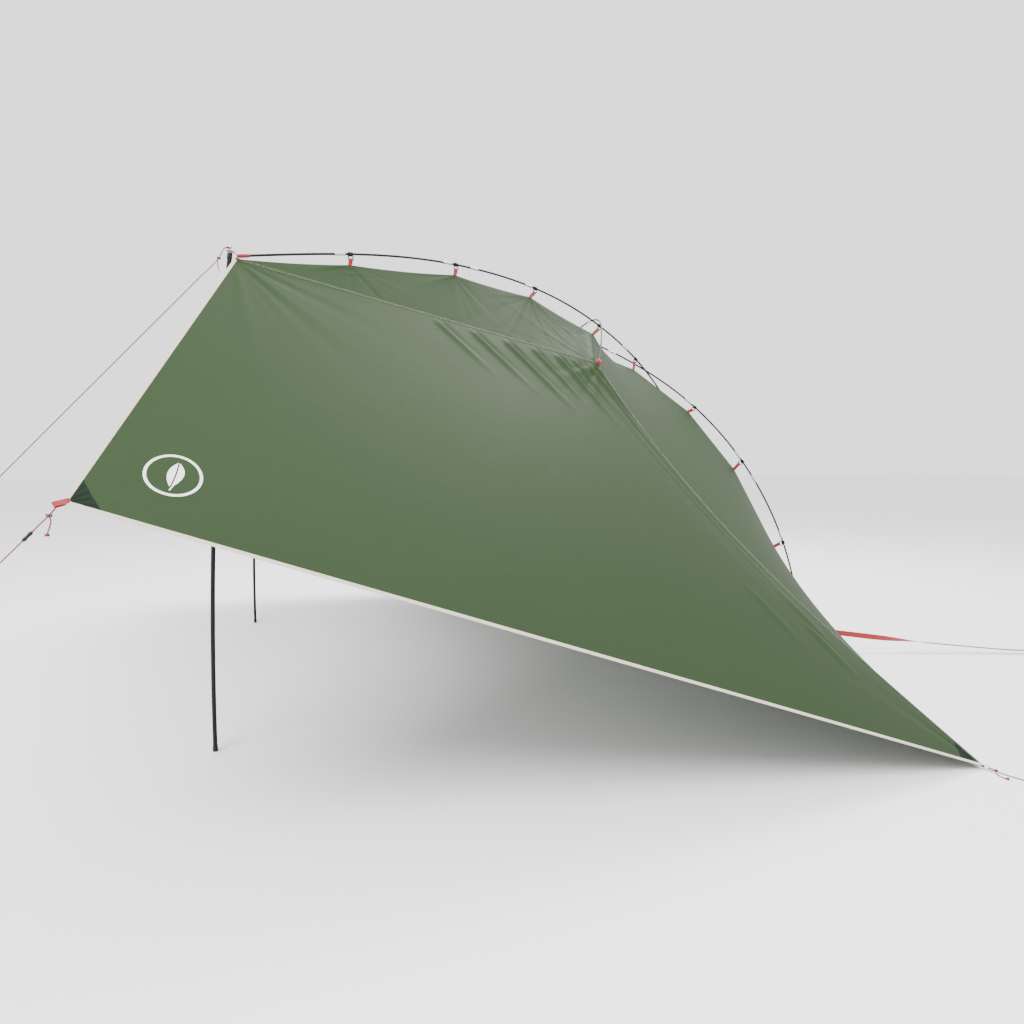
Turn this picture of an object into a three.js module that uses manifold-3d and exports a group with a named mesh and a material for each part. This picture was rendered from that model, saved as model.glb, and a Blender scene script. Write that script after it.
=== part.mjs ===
// A tarp shelter on poles: two front uprights, two crossing arch rods, a short brow rod and a green canopy
// that hangs below the rods on hook clips.
//
// Millimetres, +Z up. The shelter opens towards -X, its rear hem lies on the ground towards +X, and it is
// symmetric about the plane y = 0. "near" pieces are on the -Y side, "far" pieces on the +Y side.
import * as THREE from "three";
import { mergeVertices } from "three/addons/utils/BufferGeometryUtils.js";
import Module from "manifold-3d";

const wasm = await Module();
wasm.setup();

// ---------------------------------------------------------------- driving dimensions

const poleLineX = -1477; // the uprights' heads, from the middle of the whole shelter
const halfSpacing = 1333; // from the middle plane to an upright
const uprightHeight = 2085; // top of the upright's head, without its spike
const uprightTubeRadius = 9;
const uprightWall = 1.4;
const uprightLean = 104; // how far the foot stands in front of the head
const uprightSplay = 12; // how far the foot stands outside the head
const uprightBow = 33; // how far the middle is bowed forwards under load
const headSetback = -12; // the upright's head, from the pole line
const sectionJoints = [700, 1400]; // heights of the two push-fit joints
const spigotLength = 62;
const pushFitGap = 0.35;
const footHeight = 26;
const footRadius = 10.6;
const footPlugLength = 30; // the foot's plug, up inside the tube
const spikeRadius = 3.5;
const spikeLength = 46;
const spikeSocket = 20; // how deep the spike sits in the head
const spikeCollar = 5; // height of the collar that rests on the tube
const peakReach = 8; // from the upright's side to the canopy's peak

const rodRadius = 4.8;
const archStartDrop = 12; // the arch rods' front ends, below the upright's head
const archCrownX = 1120; // where the arch is highest, from the pole line
const archCrownHeight = 2249;
const archFootX = 3365; // where the arch meets the ground, from the pole line
const archCrossX = 2456; // where the two arches cross, from the pole line
const archDropPower = 2.2; // how square the arch's rear shoulder is
const archEndGap = 52; // from the head's axis to the rod's front end
const archBreaks = [0, 0.26, 0.52, 0.77, 1]; // ends of an arch's sections, as shares of its length
const ferruleRadius = 7.2;
const ferruleLength = 70;
const ferruleGrip = 30; // the part of a ferrule that is bonded to its own section
const browFerruleWall = 2.4;
const rodEndGap = 0.3; // below an arch's rear end
const rodFitGap = 0.7;
const crossingGap = 0.6; // between the two arches where they cross
const crossingReach = 260; // how far the arches bend to pass each other

const browRodRadius = 4;
const browHalfWidth = 700; // from the middle plane to the brow rod's tip
const browTopX = 2080;
const browTopHeight = 2142;
const browTipHeight = 1785;
const browShoulder = 25; // how far outside the arch the brow rod starts to come down
const browShoulderRise = 0.88; // height of that place, as a share of the way from tip to top
const browFlank = { out: 0.53, rise: 0.48 }; // a place further down, as shares of the way out and up
const browTipGap = 6; // left in the pocket beyond the rod's tip
const browSeat = 8; // the canopy's corner, below the brow rod's tip
const pocketFit = 0.8; // between a rod's end and the webbing pocket that holds it
const browRake = 0.594; // how far the brow rod leans forwards, for each unit that it comes down

const fabricThickness = 2;
const seamGap = 3; // left between neighbouring panels
const wingHalfSpan = 2350; // from the middle plane to the wing's outer edge
const frontCornerX = -384; // wing's front corner, from the pole line
const frontCornerHeight = 1112;
const rearCornerX = 2869; // wing's rear corner, from the pole line
const rearCornerHeight = 12;
const peakDrop = 21; // the canopy's peak, below the upright's head
const wingSeamSag = 150; // how far the wing's rear seam hangs below a straight line
const wingSeamSkew = 0.8; // below 1, the sag is deepest nearer the brow
const frontHemSetback = 120; // how far the middle of the roof's front hem curves back
const frontHemSag = 45;
const roofSag = 55; // how far the roof hangs between the two arches
const flankFullness = 46; // how far the rear panel bellies out beside the rear legs
const valleyDepth = 62; // dip of the canopy between the brow and the crossing
const valleyReach = 0.03; // half width of the dip, as a share of the arch
const shoulderSag = 6; // how far the roof hangs between an arch and the top seam
const rearHollow = 0.08; // how far the rear hangs between its legs, as a share of their half distance
const hemShare = 0.996; // where the rear hem crosses a rear leg, as a share of the arch
const peakShare = 0.012; // where the roof's front hem crosses an arch
const clipDropFront = 42; // from the arch rod to the canopy, near the uprights
const clipDropRear = 64; // the same, from the brow to the ground
const hemClearance = 4; // the rear hem, above the ground
const bindingWidth = 15;
const bindingThickness = 2.4;
const bindingGap = 1;

const clipStations = [490, 1045, 1560, 2063, 2760, 3030, 3262]; // clips on each arch, from the pole line
const crossingClipX = 2392; // the clip just in front of the crossing
const hookWall = 3.4;
const hookWidth = 12; // along the rod
const hookGap = 0.9;
const hookTail = 17; // length of the hook's tail below its ring
const hookTailWidth = 15;
const strapSlot = { width: 10, height: 3.2, up: 4 };

const cordRadius = 2;
const cordGap = 0.4;
const webbingWidth = 34;
const webbingThickness = 2.4;
const webbingEdge = 2; // width of the webbing's thinner edges
const pegRadius = 2.6;
const pegHeight = 46;
const pegHookRadius = 9;
const pegHookDrop = 12; // how far the hook's end comes back down
const pegBite = 1.6; // left between a line's end and its peg
const runnerSize = { width: 20, thickness: 9, length: 34 };
const runnerShare = 0.056; // where the runner sits, as a share of its line
const tabLength = 34;
const tabWidth = 26;
const tabThickness = 2.6;
const tabSlot = { length: 14, width: 9 };
const eyeOuter = 15; // the webbing eye over the spike
const eyeFit = 0.8;
const eyeSeat = 5.6; // the eye's underside, above the upright's head
const eyeTop = 9;

// Routes of the free cords, chosen by hand. The pole line runs from the upright's head down to its peg. Its x
// is measured from the pole line, its y from the upright, and its height as a share of the way up.
const poleLineTop = 21; // the line's start, above the upright's head
const poleLineFoot = 31; // the line's end, above the ground
const poleLineOffsets = [
  [-20, -3, 1.0], [-31, -6, 0.99855], [-42, -9, 0.98988], [-54, -12, 0.97735], [-136, -50, 0.92771],
  [-301, -127, 0.82843], [-549, -243, 0.67952], [-796, -358, 0.5306], [-1043, -473, 0.38217],
  [-1291, -589, 0.23325], [-1505, -689, 0.1041], [-1621, -743, 0.0347], [-1678, -769, 0.0],
];
const poleLineRoute = poleLineOffsets.map(([x, y, share]) => [
  poleLineX + x,
  y - halfSpacing,
  poleLineFoot + share * (uprightHeight + poleLineTop - poleLineFoot),
]);

// The other routes, in millimetres from the shelter's origin.
const cornerLineRoute = [[-1887, -2362, 1082], [-1940, -2388, 1021], [-2040, -2437, 906], [-2200, -2515, 721],
  [-2360, -2593, 537], [-2520, -2671, 352], [-2680, -2749, 168], [-2760, -2788, 75], [-2799, -2807, 31]];
const rearLineRoute = [[1408, -2391, 8], [1416, -2410, 5], [1428, -2440, 3.2], [1444, -2480, 2.6],
  [1462, -2525, 3.4], [1478, -2565, 12], [1486, -2585, 26]];
const webbingRoute = [[1897, -499, 148], [1960, -520, 139], [2100, -568, 122], [2300, -636, 99],
  [2500, -705, 78], [2700, -773, 59], [2900, -842, 42], [3100, -910, 27], [3255, -963, 22]];

// ---------------------------------------------------------------- materials

function finish(color, roughness, metalness) {
  return new THREE.MeshStandardMaterial({ color, roughness, metalness });
}

const materials = {
  blackSteel: finish(0x17181a, 0.42, 0.6),
  zinc: finish(0xa9abad, 0.35, 0.9),
  blackRubber: finish(0x101112, 0.8, 0),
  fibreglass: finish(0x26272a, 0.35, 0),
  greenFabric: finish(0x5f7757, 0.7, 0),
  creamTape: finish(0xe9e1d2, 0.8, 0),
  redWebbing: finish(0xd3202f, 0.75, 0),
  darkPlastic: finish(0x2b2d31, 0.45, 0),
  redCord: finish(0xb52a3c, 0.8, 0),
};

// ---------------------------------------------------------------- small helpers

const shelter = new THREE.Group();
const V = (x, y, z) => new THREE.Vector3(x, y, z);
const lerp = THREE.MathUtils.lerp;
const upwards = V(0, 0, 1);

function addPiece(name, geometry, material) {
  const mesh = new THREE.Mesh(geometry, material);
  mesh.name = name;
  shelter.add(mesh);
}

// The closed mesh with only its positions, and with its shared corners merged.
function welded(geometry) {
  const bare = geometry.index ? geometry.toNonIndexed() : geometry.clone();
  for (const key of Object.keys(bare.attributes)) {
    if (key !== "position") bare.deleteAttribute(key);
  }
  return mergeVertices(bare, 1e-4);
}

function toSolid(geometry) {
  const mesh = welded(geometry);
  const vertProperties = new Float32Array(mesh.attributes.position.array);
  const triVerts = new Uint32Array(mesh.index.array);
  return new wasm.Manifold(new wasm.Mesh({ numProp: 3, vertProperties, triVerts }));
}

function toGeometry(solid) {
  const mesh = solid.getMesh();
  const geometry = new THREE.BufferGeometry();
  geometry.setAttribute("position", new THREE.BufferAttribute(new Float32Array(mesh.vertProperties), 3));
  geometry.setIndex(new THREE.BufferAttribute(new Uint32Array(mesh.triVerts), 1));
  return geometry;
}

function joined(first, second) {
  return toGeometry(toSolid(first).add(toSolid(second)));
}

function cut(first, second) {
  return toGeometry(toSolid(first).subtract(toSolid(second)));
}

// The same piece on the other side of the middle plane, with its faces still pointing out.
function mirrored(geometry) {
  const flipped = welded(geometry);
  flipped.scale(1, -1, 1);
  const index = flipped.index.array;
  for (let i = 0; i < index.length; i += 3) {
    [index[i], index[i + 1]] = [index[i + 1], index[i]];
  }
  return flipped;
}

// Turns a geometry built along +Z so that it runs along a direction from a point.
function placed(geometry, point, direction) {
  const turn = new THREE.Quaternion().setFromUnitVectors(upwards, direction.clone().normalize());
  geometry.applyQuaternion(turn);
  geometry.translate(point.x, point.y, point.z);
  return geometry;
}

// A solid of revolution about +Z from [radius, height] pairs that run from the bottom up.
function turned(profile, sides = 16) {
  const geometry = new THREE.LatheGeometry(profile.map(([r, z]) => new THREE.Vector2(r, z)), sides);
  geometry.rotateX(Math.PI / 2);
  return geometry;
}

function circle(radius, sides, hole = 0) {
  const ring = (r, clockwise) => {
    const points = [];
    for (let i = 0; i < sides; i += 1) {
      const angle = ((clockwise ? -i : i) / sides) * 2 * Math.PI;
      points.push(new THREE.Vector2(r * Math.cos(angle), r * Math.sin(angle)));
    }
    return points;
  };
  const shape = new THREE.Shape(ring(radius, false));
  if (hole > 0) shape.holes.push(new THREE.Path(ring(hole, true)));
  return shape;
}

function swept(shape, curve, steps) {
  return new THREE.ExtrudeGeometry(shape, { steps, extrudePath: curve, curveSegments: 12 });
}

function throughPoints(points) {
  return new THREE.CatmullRomCurve3(points, false, "centripetal");
}

// Part of a curve between two shares of its length.
function stretchOf(curve, from, to, count) {
  const points = [];
  for (let i = 0; i <= count; i += 1) points.push(curve.getPointAt(lerp(from, to, i / count)));
  return throughPoints(points);
}

// ---------------------------------------------------------------- uprights

// Centre of an upright at a height: a straight leaning line with a shallow parabolic bow.
function uprightPoint(z) {
  const t = z / uprightHeight;
  const x = poleLineX + headSetback - uprightLean * (1 - t) - 4 * uprightBow * t * (1 - t);
  return V(x, -halfSpacing - uprightSplay * (1 - t), z);
}

function uprightCurve(low, high) {
  const points = [];
  for (let i = 0; i <= 6; i += 1) points.push(uprightPoint(lerp(low, high, i / 6)));
  return throughPoints(points);
}

const head = uprightPoint(uprightHeight);
const headDirection = head.clone().sub(uprightPoint(uprightHeight - 40)).normalize();
const boreRadius = uprightTubeRadius - uprightWall;
const footTop = footHeight + pushFitGap;

function uprightTube(low, high, hasSpigot) {
  const body = swept(circle(uprightTubeRadius, 12, boreRadius - uprightWall), uprightCurve(low, high), 4);
  const room = cut(body, swept(circle(boreRadius, 12), uprightCurve(low - 1, low + spigotLength + 4), 1));
  if (!hasSpigot) return room;
  const spigotShape = circle(boreRadius - pushFitGap, 12, boreRadius - pushFitGap - uprightWall);
  return joined(room, swept(spigotShape, uprightCurve(high - 8, high + spigotLength), 1));
}

function uprightFoot() {
  const foot = turned([[0, 0], [footRadius - 1.2, 0], [footRadius, 1.2], [footRadius, footHeight - 1.5],
    [footRadius - 1, footHeight], [0, footHeight]]);
  const seat = uprightPoint(footHeight);
  foot.translate(seat.x, seat.y, 0);
  const plugStretch = uprightCurve(footHeight - 4, footHeight + footPlugLength);
  const plug = swept(circle(boreRadius - pushFitGap, 12), plugStretch, 1);
  return joined(foot, plug);
}

function uprightHead() {
  const spike = turned([[0, -spikeSocket], [spikeRadius, -spikeSocket], [spikeRadius, 0.4],
    [uprightTubeRadius - 0.6, 0.4], [uprightTubeRadius - 1.2, spikeCollar - 1], [spikeRadius, spikeCollar],
    [spikeRadius, spikeLength - 4], [spikeRadius - 1.6, spikeLength], [0, spikeLength]]);
  return placed(spike, head, headDirection);
}

function addUpright(side, place) {
  const [firstJoint, secondJoint] = sectionJoints;
  const tubes = {
    lower_tube: uprightTube(footTop, firstJoint, true),
    middle_tube: uprightTube(firstJoint + pushFitGap, secondJoint, true),
    upper_tube: uprightTube(secondJoint + pushFitGap, uprightHeight, false),
  };
  for (const [part, geometry] of Object.entries(tubes)) {
    addPiece(`${side}_upright_${part}`, place(geometry), materials.blackSteel);
  }
  addPiece(`${side}_upright_foot`, place(uprightFoot()), materials.blackRubber);
  addPiece(`${side}_upright_spike`, place(uprightHead()), materials.zinc);
}

// ---------------------------------------------------------------- arch rods

// An arch that starts at the near upright: a quarter sine up to its crown, then a squared ellipse to the
// ground. In plan it is straight. "lift" moves it up or down where the two arches pass each other.
class ArchCurve extends THREE.Curve {
  constructor(lift) {
    super();
    this.lift = lift;
  }

  getPoint(t, target = V(0, 0, 0)) {
    const front = 0.35;
    let along;
    let height;
    if (t < front) {
      const share = t / front;
      along = archCrownX * share;
      const startHeight = uprightHeight - archStartDrop;
      height = lerp(startHeight, archCrownHeight, Math.sin((share * Math.PI) / 2));
    } else {
      const angle = (((t - front) / (1 - front)) * Math.PI) / 2;
      along = archCrownX + (archFootX - archCrownX) * Math.sin(angle) ** (2 / archDropPower);
      height = archCrownHeight * Math.cos(angle);
    }
    const pass = this.lift * Math.exp(-(((along - archCrossX) / crossingReach) ** 2));
    const y = -halfSpacing * (1 - along / archCrossX);
    return target.set(poleLineX + along, y, height + pass);
  }
}

// Share of an arch's length at which it is a distance behind the pole line.
function archShareAt(curve, along) {
  let low = 0;
  let high = 1;
  for (let i = 0; i < 40; i += 1) {
    const middle = (low + high) / 2;
    if (curve.getPointAt(middle).x < poleLineX + along) low = middle;
    else high = middle;
  }
  return (low + high) / 2;
}

// Half the height between two crossing arches that clear each other by a gap: more on a steep arch.
function passingLift() {
  const level = new ArchCurve(0);
  const tangent = level.getTangentAt(archShareAt(level, archCrossX));
  return (rodRadius + crossingGap / 2) * Math.hypot(1, tangent.z / tangent.x);
}

const nearArch = new ArchCurve(passingLift());
const farArch = new ArchCurve(-passingLift());

// One section of an arch. Each section but the last carries a ferrule that the next one pushes into.
function archSection(curve, index) {
  const length = curve.getLength();
  const last = index === archBreaks.length - 2;
  const end = archBreaks[index + 1] - (last ? rodEndGap / length : 0);
  const start = index === 0 ? archEndGap / length : archBreaks[index] + pushFitGap / length;
  const rod = swept(circle(rodRadius, 8), stretchOf(curve, start, end, 14), 16);
  if (last) return rod;
  const grip = swept(circle(ferruleRadius, 10),
    stretchOf(curve, end - ferruleGrip / length, end + (ferruleLength - ferruleGrip) / length, 2), 2);
  const sleeve = cut(grip, swept(circle(rodRadius + rodFitGap, 10),
    stretchOf(curve, end + 0.05 / length, end + (ferruleLength + 10) / length, 2), 2));
  return joined(rod, sleeve);
}

function addArch(side, curve, place) {
  for (let index = 0; index < archBreaks.length - 1; index += 1) {
    addPiece(`${side}_arch_section_${index + 1}`, place(archSection(curve, index)), materials.fibreglass);
  }
}

// ---------------------------------------------------------------- brow rod

// The brow rod stands over the two arches in a plane that leans forwards.
function browPoint(y, z) {
  return V(poleLineX + browTopX - browRake * (browTopHeight - z), y, z);
}

// Half of its outline from a tip to its top. It keeps its height until it has passed over the arch.
const archAtBrow = halfSpacing * (1 - clipStations[3] / archCrossX);
const browHalfOutline = [
  [browHalfWidth, browTipHeight],
  [lerp(archAtBrow + browShoulder, browHalfWidth, browFlank.out),
    lerp(browTipHeight, browTopHeight, browFlank.rise)],
  [archAtBrow + browShoulder, lerp(browTipHeight, browTopHeight, browShoulderRise)],
];

const browCurve = throughPoints([
  ...browHalfOutline.map(([y, z]) => browPoint(-y, z)),
  browPoint(0, browTopHeight),
  ...browHalfOutline.map(([y, z]) => browPoint(y, z)).reverse(),
]);

function browHalf(hasFerrule) {
  const length = browCurve.getLength();
  const rod = swept(circle(browRodRadius, 8),
    stretchOf(browCurve, browTipGap / length, 0.5 - pushFitGap / length, 14), 20);
  if (!hasFerrule) return rod;
  const grip = swept(circle(browRodRadius + browFerruleWall, 10),
    stretchOf(browCurve, 0.5 - ferruleGrip / length, 0.5 + ferruleGrip / length, 2), 2);
  const sleeve = cut(grip, swept(circle(browRodRadius + rodFitGap, 10),
    stretchOf(browCurve, 0.5 - pushFitGap / length, 0.5 + (ferruleGrip + 10) / length, 2), 2));
  return joined(rod, sleeve);
}

// A red cup of webbing, sewn to the canopy, that holds the brow rod's tip.
function browPocket() {
  const tip = browCurve.getPointAt(0);
  const tangent = browCurve.getTangentAt(0);
  const inner = browRodRadius + pocketFit;
  const cup = turned([[0, -9], [6, -8], [inner + 4.5, -2], [inner + 4.5, 14], [inner + 3, 17], [inner, 17],
    [inner, 2], [0, 2]], 12);
  return placed(cup, tip, tangent);
}

// ---------------------------------------------------------------- canopy surfaces

const peakX = poleLineX + headSetback + uprightTubeRadius + peakReach;
const peak = V(peakX, -halfSpacing, uprightHeight - peakDrop);
const frontCorner = V(poleLineX + frontCornerX, -wingHalfSpan, frontCornerHeight);
const rearCorner = V(poleLineX + rearCornerX, -wingHalfSpan, rearCornerHeight);
const browTip = browPoint(-browHalfWidth, browTipHeight - browSeat);

// The rear seam of a wing: a straight line that hangs in one long sag, deepest near the brow.
function rearSeam(t) {
  const sag = wingSeamSag * Math.sin(Math.PI * t ** wingSeamSkew);
  return browTip.clone().lerp(rearCorner, t).add(V(0, 0, -sag));
}

function topSeam(t) {
  return peak.clone().lerp(browTip, t);
}

// A wing spans its four edges: front edge and rear seam at the ends, top seam and lower edge along it.
function wingPoint(u, v) {
  const front = peak.clone().lerp(frontCorner, v);
  const rear = rearSeam(v);
  const top = topSeam(u);
  const low = frontCorner.clone().lerp(rearCorner, u);
  const across = front.multiplyScalar(1 - u).add(rear.multiplyScalar(u));
  const along = top.multiplyScalar(1 - v).add(low.multiplyScalar(v));
  const corners = peak.clone().multiplyScalar((1 - u) * (1 - v))
    .add(browTip.clone().multiplyScalar(u * (1 - v)))
    .add(frontCorner.clone().multiplyScalar((1 - u) * v))
    .add(rearCorner.clone().multiplyScalar(u * v));
  return across.add(along).sub(corners);
}

// The canopy's ridge below an arch: the arch moved inwards, square to itself, by the length of the clips.
function ridgePoint(share) {
  const point = farArch.getPointAt(share);
  const tangent = farArch.getTangentAt(share);
  const plan = V(1, halfSpacing / archCrossX, 0).normalize();
  const inwards = V(0, 0, 0).crossVectors(tangent, V(0, 0, 0).crossVectors(upwards, plan)).normalize();
  const drop = lerp(clipDropFront, clipDropRear, Math.min(1, share * 2));
  return point.add(inwards.multiplyScalar(inwards.z > 0 ? -drop : drop));
}

const browShare = archShareAt(farArch, clipStations[3]);
const crossShare = archShareAt(farArch, archCrossX);

function smoothThrough(points, v) {
  return throughPoints(points).getPoint(v);
}

// A roof rib, from the near top seam over both ridges to the far top seam. u runs from the front hem to the
// brow.
function roofRib(u) {
  const seam = topSeam(u);
  const ridge = ridgePoint(lerp(peakShare, browShare, u));
  ridge.lerp(peak, (1 - u) ** 12);
  const frontness = (1 - u) ** 2;
  const sag = roofSag * (1 - u) + frontHemSag * frontness;
  const middle = V(ridge.x + frontHemSetback * frontness, 0, ridge.z - sag);
  const shoulder = seam.clone().lerp(ridge, 0.5).add(V(0, 0, -shoulderSag * u));
  const half = [seam, shoulder, ridge];
  const other = half.map((p) => V(p.x, -p.y, p.z)).reverse();
  return [...half, middle, ...other];
}

// A rear rib, from the near wing's rear seam over the rear legs to the far wing's rear seam. u runs down to
// the hem.
function rearRib(u) {
  const share = lerp(browShare, hemShare, u);
  const ridge = ridgePoint(share);
  ridge.y = -Math.abs(ridge.y);
  const fromValley = (share - (browShare + crossShare) / 2) / valleyReach;
  ridge.z -= valleyDepth * Math.exp(-(fromValley ** 2));
  ridge.z = Math.max(ridge.z, hemClearance);
  const seam = rearSeam(u);
  const fullness = flankFullness * Math.sin(Math.PI * u);
  const shoulder = seam.clone().lerp(ridge, 0.5).add(V(fullness * 0.6, 0, -fullness));
  shoulder.z = Math.max(shoulder.z, hemClearance);
  const hollow = rearHollow * Math.abs(ridge.y);
  const middle = V(ridge.x - 10, 0, Math.max(ridge.z - hollow, hemClearance));
  const half = [seam, shoulder, ridge];
  const other = half.map((p) => V(p.x, -p.y, p.z)).reverse();
  return [...half, middle, ...other];
}

const roofPoint = (u, v) => smoothThrough(roofRib(u), v);
const rearPoint = (u, v) => smoothThrough(rearRib(u), v);

function surfaceNormal(surface, u, v) {
  const nudge = 0.004;
  const uStep = surface(Math.min(u + nudge, 1), v).sub(surface(Math.max(u - nudge, 0), v));
  const vStep = surface(u, Math.min(v + nudge, 1)).sub(surface(u, Math.max(v - nudge, 0)));
  return uStep.cross(vStep).normalize();
}

// A thin closed solid on a surface: one grid of points on each face, with a strip round the border. Both
// faces are split along the same diagonals, so that they stay a wall apart where the surface twists.
function sheetSolid(surface, uRange, vRange, steps, thickness) {
  const [rows, columns] = steps;
  const stride = columns + 1;
  const layer = (rows + 1) * stride;
  const positions = [];
  for (const side of [0.5, -0.5]) {
    for (let i = 0; i <= rows; i += 1) {
      for (let j = 0; j <= columns; j += 1) {
        const u = lerp(uRange[0], uRange[1], i / rows);
        const v = lerp(vRange[0], vRange[1], j / columns);
        const offset = surfaceNormal(surface, u, v).multiplyScalar(side * thickness);
        positions.push(...surface(u, v).add(offset).toArray());
      }
    }
  }
  const index = [];
  const quad = (a, b, c, d) => index.push(a, b, c, a, c, d);
  for (let i = 0; i < rows; i += 1) {
    for (let j = 0; j < columns; j += 1) {
      const a = i * stride + j;
      const b = a + stride;
      quad(a, b, b + 1, a + 1);
      quad(layer + a, layer + a + 1, layer + b + 1, layer + b);
    }
  }
  for (let i = 0; i < rows; i += 1) {
    const a = i * stride;
    const b = a + stride;
    quad(b, a, layer + a, layer + b);
    quad(a + columns, b + columns, layer + b + columns, layer + a + columns);
  }
  for (let j = 0; j < columns; j += 1) {
    const b = rows * stride + j;
    quad(j, j + 1, layer + j + 1, layer + j);
    quad(b + 1, b, layer + b, layer + b + 1);
  }
  const sheet = new THREE.BufferGeometry();
  sheet.setAttribute("position", new THREE.Float32BufferAttribute(positions, 3));
  sheet.setIndex(index);
  return sheet;
}

const wingLength = frontCorner.distanceTo(rearCorner);
const wingDepth = peak.distanceTo(frontCorner);
const frontBand = (bindingWidth + bindingGap) / wingLength;
const lowBand = (bindingWidth + bindingGap) / wingDepth;
const wingSeam = seamGap / wingDepth;

function addWing(side, place) {
  const panel = sheetSolid(wingPoint, [frontBand, 1 - 3 * wingSeam], [wingSeam * 2, 1 - lowBand], [12, 8],
    fabricThickness);
  addPiece(`${side}_wing_panel`, place(panel), materials.greenFabric);
  const frontEdge = sheetSolid(wingPoint, [0, frontBand - bindingGap / wingLength],
    [wingSeam * 4, 1 - lowBand], [1, 8], bindingThickness);
  addPiece(`${side}_front_binding`, place(frontEdge), materials.creamTape);
  const lowEdge = sheetSolid(wingPoint, [0, 1 - 3 * wingSeam],
    [1 - lowBand + bindingGap / wingDepth, 1], [12, 1], bindingThickness);
  addPiece(`${side}_lower_binding`, place(lowEdge), materials.creamTape);
}

function addCanopy() {
  const inset = 0.006;
  const across = [inset, 1 - inset];
  const roof = sheetSolid(roofPoint, [inset * 3, 1 - inset], across, [12, 14], fabricThickness);
  addPiece("roof_panel", roof, materials.greenFabric);
  const rear = sheetSolid(rearPoint, [inset, 1 - inset / 3], across, [14, 16], fabricThickness);
  addPiece("rear_panel", rear, materials.greenFabric);
}

// ---------------------------------------------------------------- clips

// Outline of a hook, seen along the rod: a ring open at one side, on a tail with a slot for its strap.
function hookShape() {
  const inner = rodRadius + hookGap;
  const outer = inner + hookWall;
  const half = hookTailWidth / 2;
  const mouthTop = (10 / 180) * Math.PI;
  const mouthLow = (-48 / 180) * Math.PI;
  const shape = new THREE.Shape();
  shape.moveTo(-half, -outer - hookTail);
  shape.lineTo(half, -outer - hookTail);
  shape.lineTo(half, -outer + 1);
  shape.lineTo(outer * Math.cos(mouthLow), outer * Math.sin(mouthLow));
  shape.lineTo(inner * Math.cos(mouthLow), inner * Math.sin(mouthLow));
  shape.absarc(0, 0, inner, mouthLow, mouthTop - 2 * Math.PI, true);
  shape.lineTo(outer * Math.cos(mouthTop), outer * Math.sin(mouthTop));
  shape.absarc(0, 0, outer, mouthTop, Math.PI * 1.18, false);
  shape.lineTo(-half, -outer + 1);
  shape.closePath();
  const low = -outer - hookTail + strapSlot.up;
  const slot = new THREE.Path();
  slot.moveTo(-strapSlot.width / 2, low);
  slot.lineTo(-strapSlot.width / 2, low + strapSlot.height);
  slot.lineTo(strapSlot.width / 2, low + strapSlot.height);
  slot.lineTo(strapSlot.width / 2, low);
  slot.closePath();
  shape.holes.push(slot);
  return shape;
}

function hookAt(curve, along) {
  const share = archShareAt(curve, along);
  const point = curve.getPointAt(share);
  const tangent = curve.getTangentAt(share);
  const sideways = V(0, 0, 0).crossVectors(upwards, tangent).normalize();
  const outwards = V(0, 0, 0).crossVectors(tangent, sideways).normalize();
  const settings = { depth: hookWidth, bevelEnabled: false, curveSegments: 9 };
  const hook = new THREE.ExtrudeGeometry(hookShape(), settings);
  hook.translate(0, 0, -hookWidth / 2);
  hook.applyMatrix4(new THREE.Matrix4().makeBasis(sideways.negate(), outwards, tangent.negate()));
  hook.translate(point.x, point.y, point.z);
  return hook;
}

function addClips(side, curve, place) {
  clipStations.forEach((along, index) => {
    addPiece(`${side}_clip_${index + 1}`, place(hookAt(curve, along)), materials.darkPlastic);
  });
}

// ---------------------------------------------------------------- webbing tabs and the head pockets

// A flat loop of webbing with a slot, lying from its root along +X.
function tabSolid() {
  const half = tabWidth / 2;
  const shape = new THREE.Shape();
  shape.moveTo(0, -half);
  shape.lineTo(tabLength - half, -half);
  shape.absarc(tabLength - half, 0, half, -Math.PI / 2, Math.PI / 2, false);
  shape.lineTo(0, half);
  shape.closePath();
  const slot = new THREE.Path();
  const from = tabLength - half - tabSlot.length / 2;
  slot.moveTo(from, -tabSlot.width / 2);
  slot.lineTo(from, tabSlot.width / 2);
  slot.lineTo(from + tabSlot.length, tabSlot.width / 2);
  slot.lineTo(from + tabSlot.length, -tabSlot.width / 2);
  slot.closePath();
  shape.holes.push(slot);
  const settings = { depth: tabThickness, bevelEnabled: false, curveSegments: 8 };
  const tab = new THREE.ExtrudeGeometry(shape, settings);
  tab.translate(0, 0, -tabThickness / 2);
  return tab;
}

// A tab that leaves a corner of the canopy in a direction, in the plane that also holds a second direction.
function tabAt(corner, away, second) {
  const along = away.clone().normalize();
  const normal = V(0, 0, 0).crossVectors(along, second).normalize();
  const across = V(0, 0, 0).crossVectors(normal, along).normalize();
  const tab = tabSolid();
  tab.applyMatrix4(new THREE.Matrix4().makeBasis(along, across, normal));
  const root = corner.clone().add(along.multiplyScalar(4));
  tab.translate(root.x, root.y, root.z);
  return tab;
}

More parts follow.
